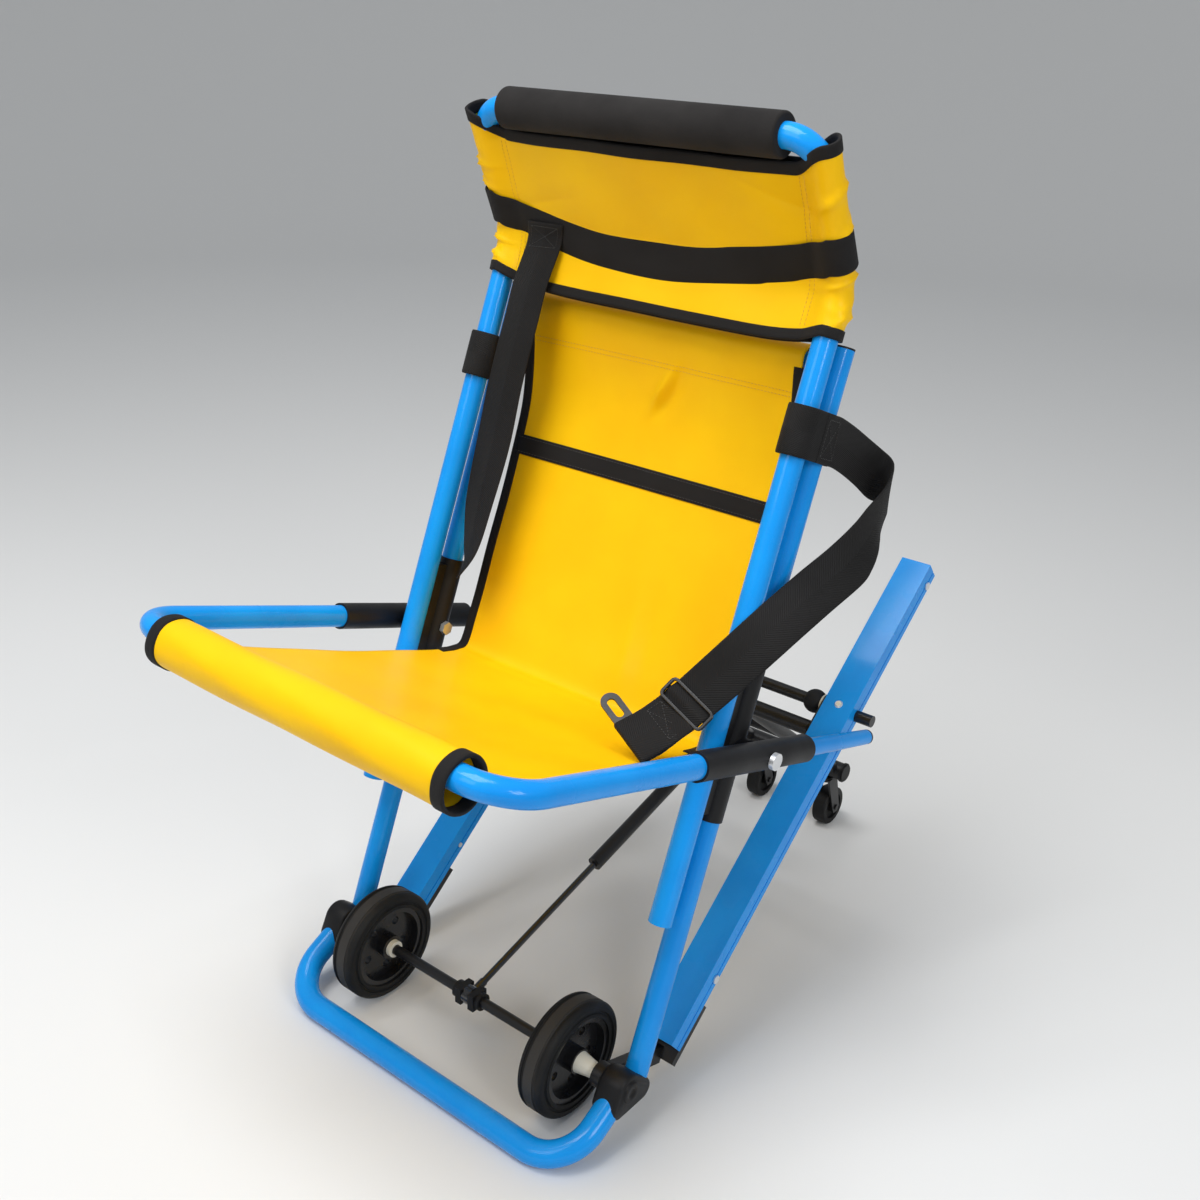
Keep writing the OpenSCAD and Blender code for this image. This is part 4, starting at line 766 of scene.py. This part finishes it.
# Slider: a black moulded frame that the left belt is threaded through.
# The belt passes under its two long sides and over the bar between them.
slider_at = int(np.argmin(np.linalg.norm(left_line[:left_upper] - slider_spot, axis=1)))
slider_side, slider_up = left_side[slider_at], -left_face[slider_at]
slider_way = unit(np.cross(slider_side, slider_up))
corner_turn = np.radians(np.arange(0, 360, 90)[:, None] + np.linspace(0, 90, 7)).reshape(-1)
corner_sign = np.repeat([[1, 1], [-1, 1], [-1, -1], [1, -1]], 7, axis=0)
slider_half, corner_r = np.array([.0232, .0064]), .0042
rim_across, rim_along = (slider_half * corner_sign
                         + corner_r * np.stack([np.cos(corner_turn), np.sin(corner_turn)], -1)).T
rim_lift, bar_lift = .0030, .0002
rim_line = (slider_spot + np.outer(rim_across, slider_side) + np.outer(rim_along, slider_way)
            + slider_up * rim_lift)
rim_out = unit(np.outer(np.cos(corner_turn), slider_side) + np.outer(np.sin(corner_turn), slider_way))
slider_frame = tape_mesh("slider_frame", rim_line, rim_out, np.tile(slider_up, (len(rim_line), 1)),
                         width=.0034, thick=.0036, material=gloss_moulding, closed=True)
bar_line = slider_spot + np.outer(np.linspace(-.027, .027, 8), slider_side) + slider_up * bar_lift
slider_bar = tape_mesh("slider_bar", bar_line, np.tile(-slider_way, (len(bar_line), 1)),
                       np.tile(slider_up, (len(bar_line), 1)),
                       width=.0046, thick=.0032, material=gloss_moulding)
for piece in (slider_frame, slider_bar):
    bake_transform(piece)

# Right belt: the same webbing, tucked over the head band and sewn to it.
# It hangs down inside the far tube and twists at its free end.
right_x, top_x = -0.1712, -0.1492
top_turn = (top_x + pocket_x) / sleeve_girth
front_part = sleeve_steps // 3
top_w = float(np.interp(top_x, band_x[:front_part], band_height[:front_part]))
right_points = np.concatenate([
    sleeve_point(np.array([top_turn, top_turn - .004]), np.array([top_w + .010, top_w - .016]), 0.0052),
    sleeve_point(np.array([top_turn - .008]), np.array([.004]), 0.0100),
    on_back(right_x + np.array([.010, .002, 0, 0, .002, -.004]),
            np.array([-.020, -.010, -.002, .000, .002, .006]),
            loop_s + np.array([.050, -.022, -.092, -.162, -.212, -.248]))])
right_widths = np.array([(1, 0, 0), (1, 0, .05), (1, 0, .05), (1, 0, .05), (1, 0, 0), (1, 0, 0), (1, -.2, 0),
                         (.9, -.5, 0), (.5, -.8, .1)])
right_belt, right_length, right_line, right_side, right_face = belt_mesh(
    "right_belt", right_points, right_widths, 240)
right_bend = tuple(right_points[5]), tuple(right_points[1])
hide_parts("shoulder_strap_right")
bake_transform(right_belt)

# Belt tongue: a stamped loop of black-coated steel, held in the folded end of the left belt.
# Its coating is worn thin where it has been pushed into a catch.
tongue_steel = coating("tongue_steel", (0.050, 0.050, 0.052), (0.020, 0.020, 0.021), rough=(0.25, 0.45),
                       grain=0.0010, bump=0.10, metal=0.4)
dress(tongue_steel, "strap_tongue")


# Sewing: rows of single stitches in polyester thread, yellow on the cloth and black on tape and webbing.
# Each stitch is a small spindle laid along its seam.
def stitch_rows(name, seams, stitch, thread):
    """Spindles along seams of (points, outward faces), with stitch = (pitch, length, thickness) in metres.
    Each is three rings of four points: thin, full and thin."""
    pitch, length, thick = stitch
    points, faces, first = [], [], 0
    for line, out in seams:
        run = run_along(line)
        mids = np.arange(pitch / 2, run[-1], pitch)
        spot, face = at_run(mids, run, line), unit(at_run(mids, run, out))
        way = unit(at_run(mids + length / 2, run, line) - at_run(mids - length / 2, run, line))
        wide = unit(np.cross(face, way))
        points.append(np.stack([spot + way * shift * length + (wide * a + face * b) * thick * swell / 2
                                for shift, swell in ((-.5, .35), (0, 1), (.5, .35))
                                for a, b in ((1, 0), (0, 1), (-1, 0), (0, -1))], 1).reshape(-1, 3))
        index = first + np.arange(len(mids) * 12).reshape(-1, 3, 4)
        now, nxt = index[:, :-1], index[:, 1:]
        sides = np.stack([now, np.roll(now, -1, 2), np.roll(nxt, -1, 2), nxt], -1)
        faces += [sides.reshape(-1, 4), index[:, 0, ::-1], index[:, 2]]
        first += len(mids) * 12
    return new_piece(name, np.concatenate(points), np.concatenate(faces).tolist(), thread)


black_thread = coating("black_thread", (0.040, 0.038, 0.037), (0.018, 0.017, 0.017), rough=(0.55, 0.75),
                       grain=0.0006, bump=0.2, sheen=0.2)
yellow_thread = coating("yellow_thread", (0.780, 0.400, 0.010), (0.620, 0.290, 0.006), rough=(0.45, 0.65),
                        grain=0.0006, bump=0.2, sheen=0.2)
cloth_stitch, band_stitch, belt_stitch = (.0042, .0032, .0008), (.0040, .0030, .0007), (.0034, .0026, .0007)


def sleeve_seam(x, lift):
    """Seam up the sleeve's front at x."""
    w = np.linspace(0.012, sleeve_height - 0.013, 120)
    turn_part = np.full(120, (x + pocket_x) / sleeve_girth)
    line = sleeve_point(turn_part, w, lift)
    return line, unit(sleeve_point(turn_part, w, lift + .002) - line)


sleeve_seams = stitch_rows("sleeve_seams", [sleeve_seam(x, 0.0007) for x in (-.190, -.1845, .1845, .190)],
                           cloth_stitch, yellow_thread)
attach(sleeve_seams, "handle")


def band_seam(shift):
    """Seam along the hammock's cross band, shift metres from its middle."""
    line = hammock_point(band_u, band_run + shift, 0.0022)
    return line, unit(hammock_point(band_u, band_run + shift, 0.0042) - line)


band_seams = stitch_rows("band_seams", [band_seam(-.0085), band_seam(.0085)], band_stitch, black_thread)
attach(band_seams, "frame")


def cloth_seam(run):
    """Seam across the hammock, run metres from its top hem."""
    seam_u = np.linspace(-.94, .94, 90)
    line = hammock_point(seam_u, run, 0.0008)
    return line, unit(hammock_point(seam_u, run, 0.0028) - line)


for name, runs, body in (("hem_seams", (crease_run - .029, crease_run - .024), "frame"),
                         ("roll_seams", (hammock_length - .020, hammock_length - .015), "seat")):
    sewn = stitch_rows(name, [cloth_seam(run) for run in runs], cloth_stitch, yellow_thread)
    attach(sewn, body)


box_half = .019


def belt_box(line, side, out, start, end):
    """Box with a cross sewn through a belt between two lengths along it, box_half to either side."""
    run = run_along(line)
    box = (start, -1), (start, 1), (end, 1), (end, -1), (start, -1)
    seams = []
    for path in (box, ((start, -1), (end, 1)), ((start, 1), (end, -1))):
        path = np.array(path, float) * (1, box_half)
        at = np.concatenate([np.linspace(a, b, 24) for a, b in zip(path[:-1], path[1:])])
        spot, wide, face = (at_run(at[:, 0], run, rows) for rows in (line, side, out))
        seams.append((spot + wide * at[:, 1:] + face * .0016, face))
    return seams


slider_run = float(run_along(left_line)[slider_at])
for name, belt, start, end, bodies, bend in (
        ("loop_stitches", (left_line, left_side, left_face), .004, .028, ("frame", "seat"), left_bend),
        ("tongue_stitches", (left_line, left_side, -left_face), slider_run + .018, slider_run + .036,
         ("frame", "seat"), left_bend),
        ("band_stitches", (right_line, right_side, right_face), .004, .028, ("frame", "handle"), right_bend)):
    sewn = stitch_rows(name, belt_box(*belt, start, end), belt_stitch, black_thread)
    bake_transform(sewn)
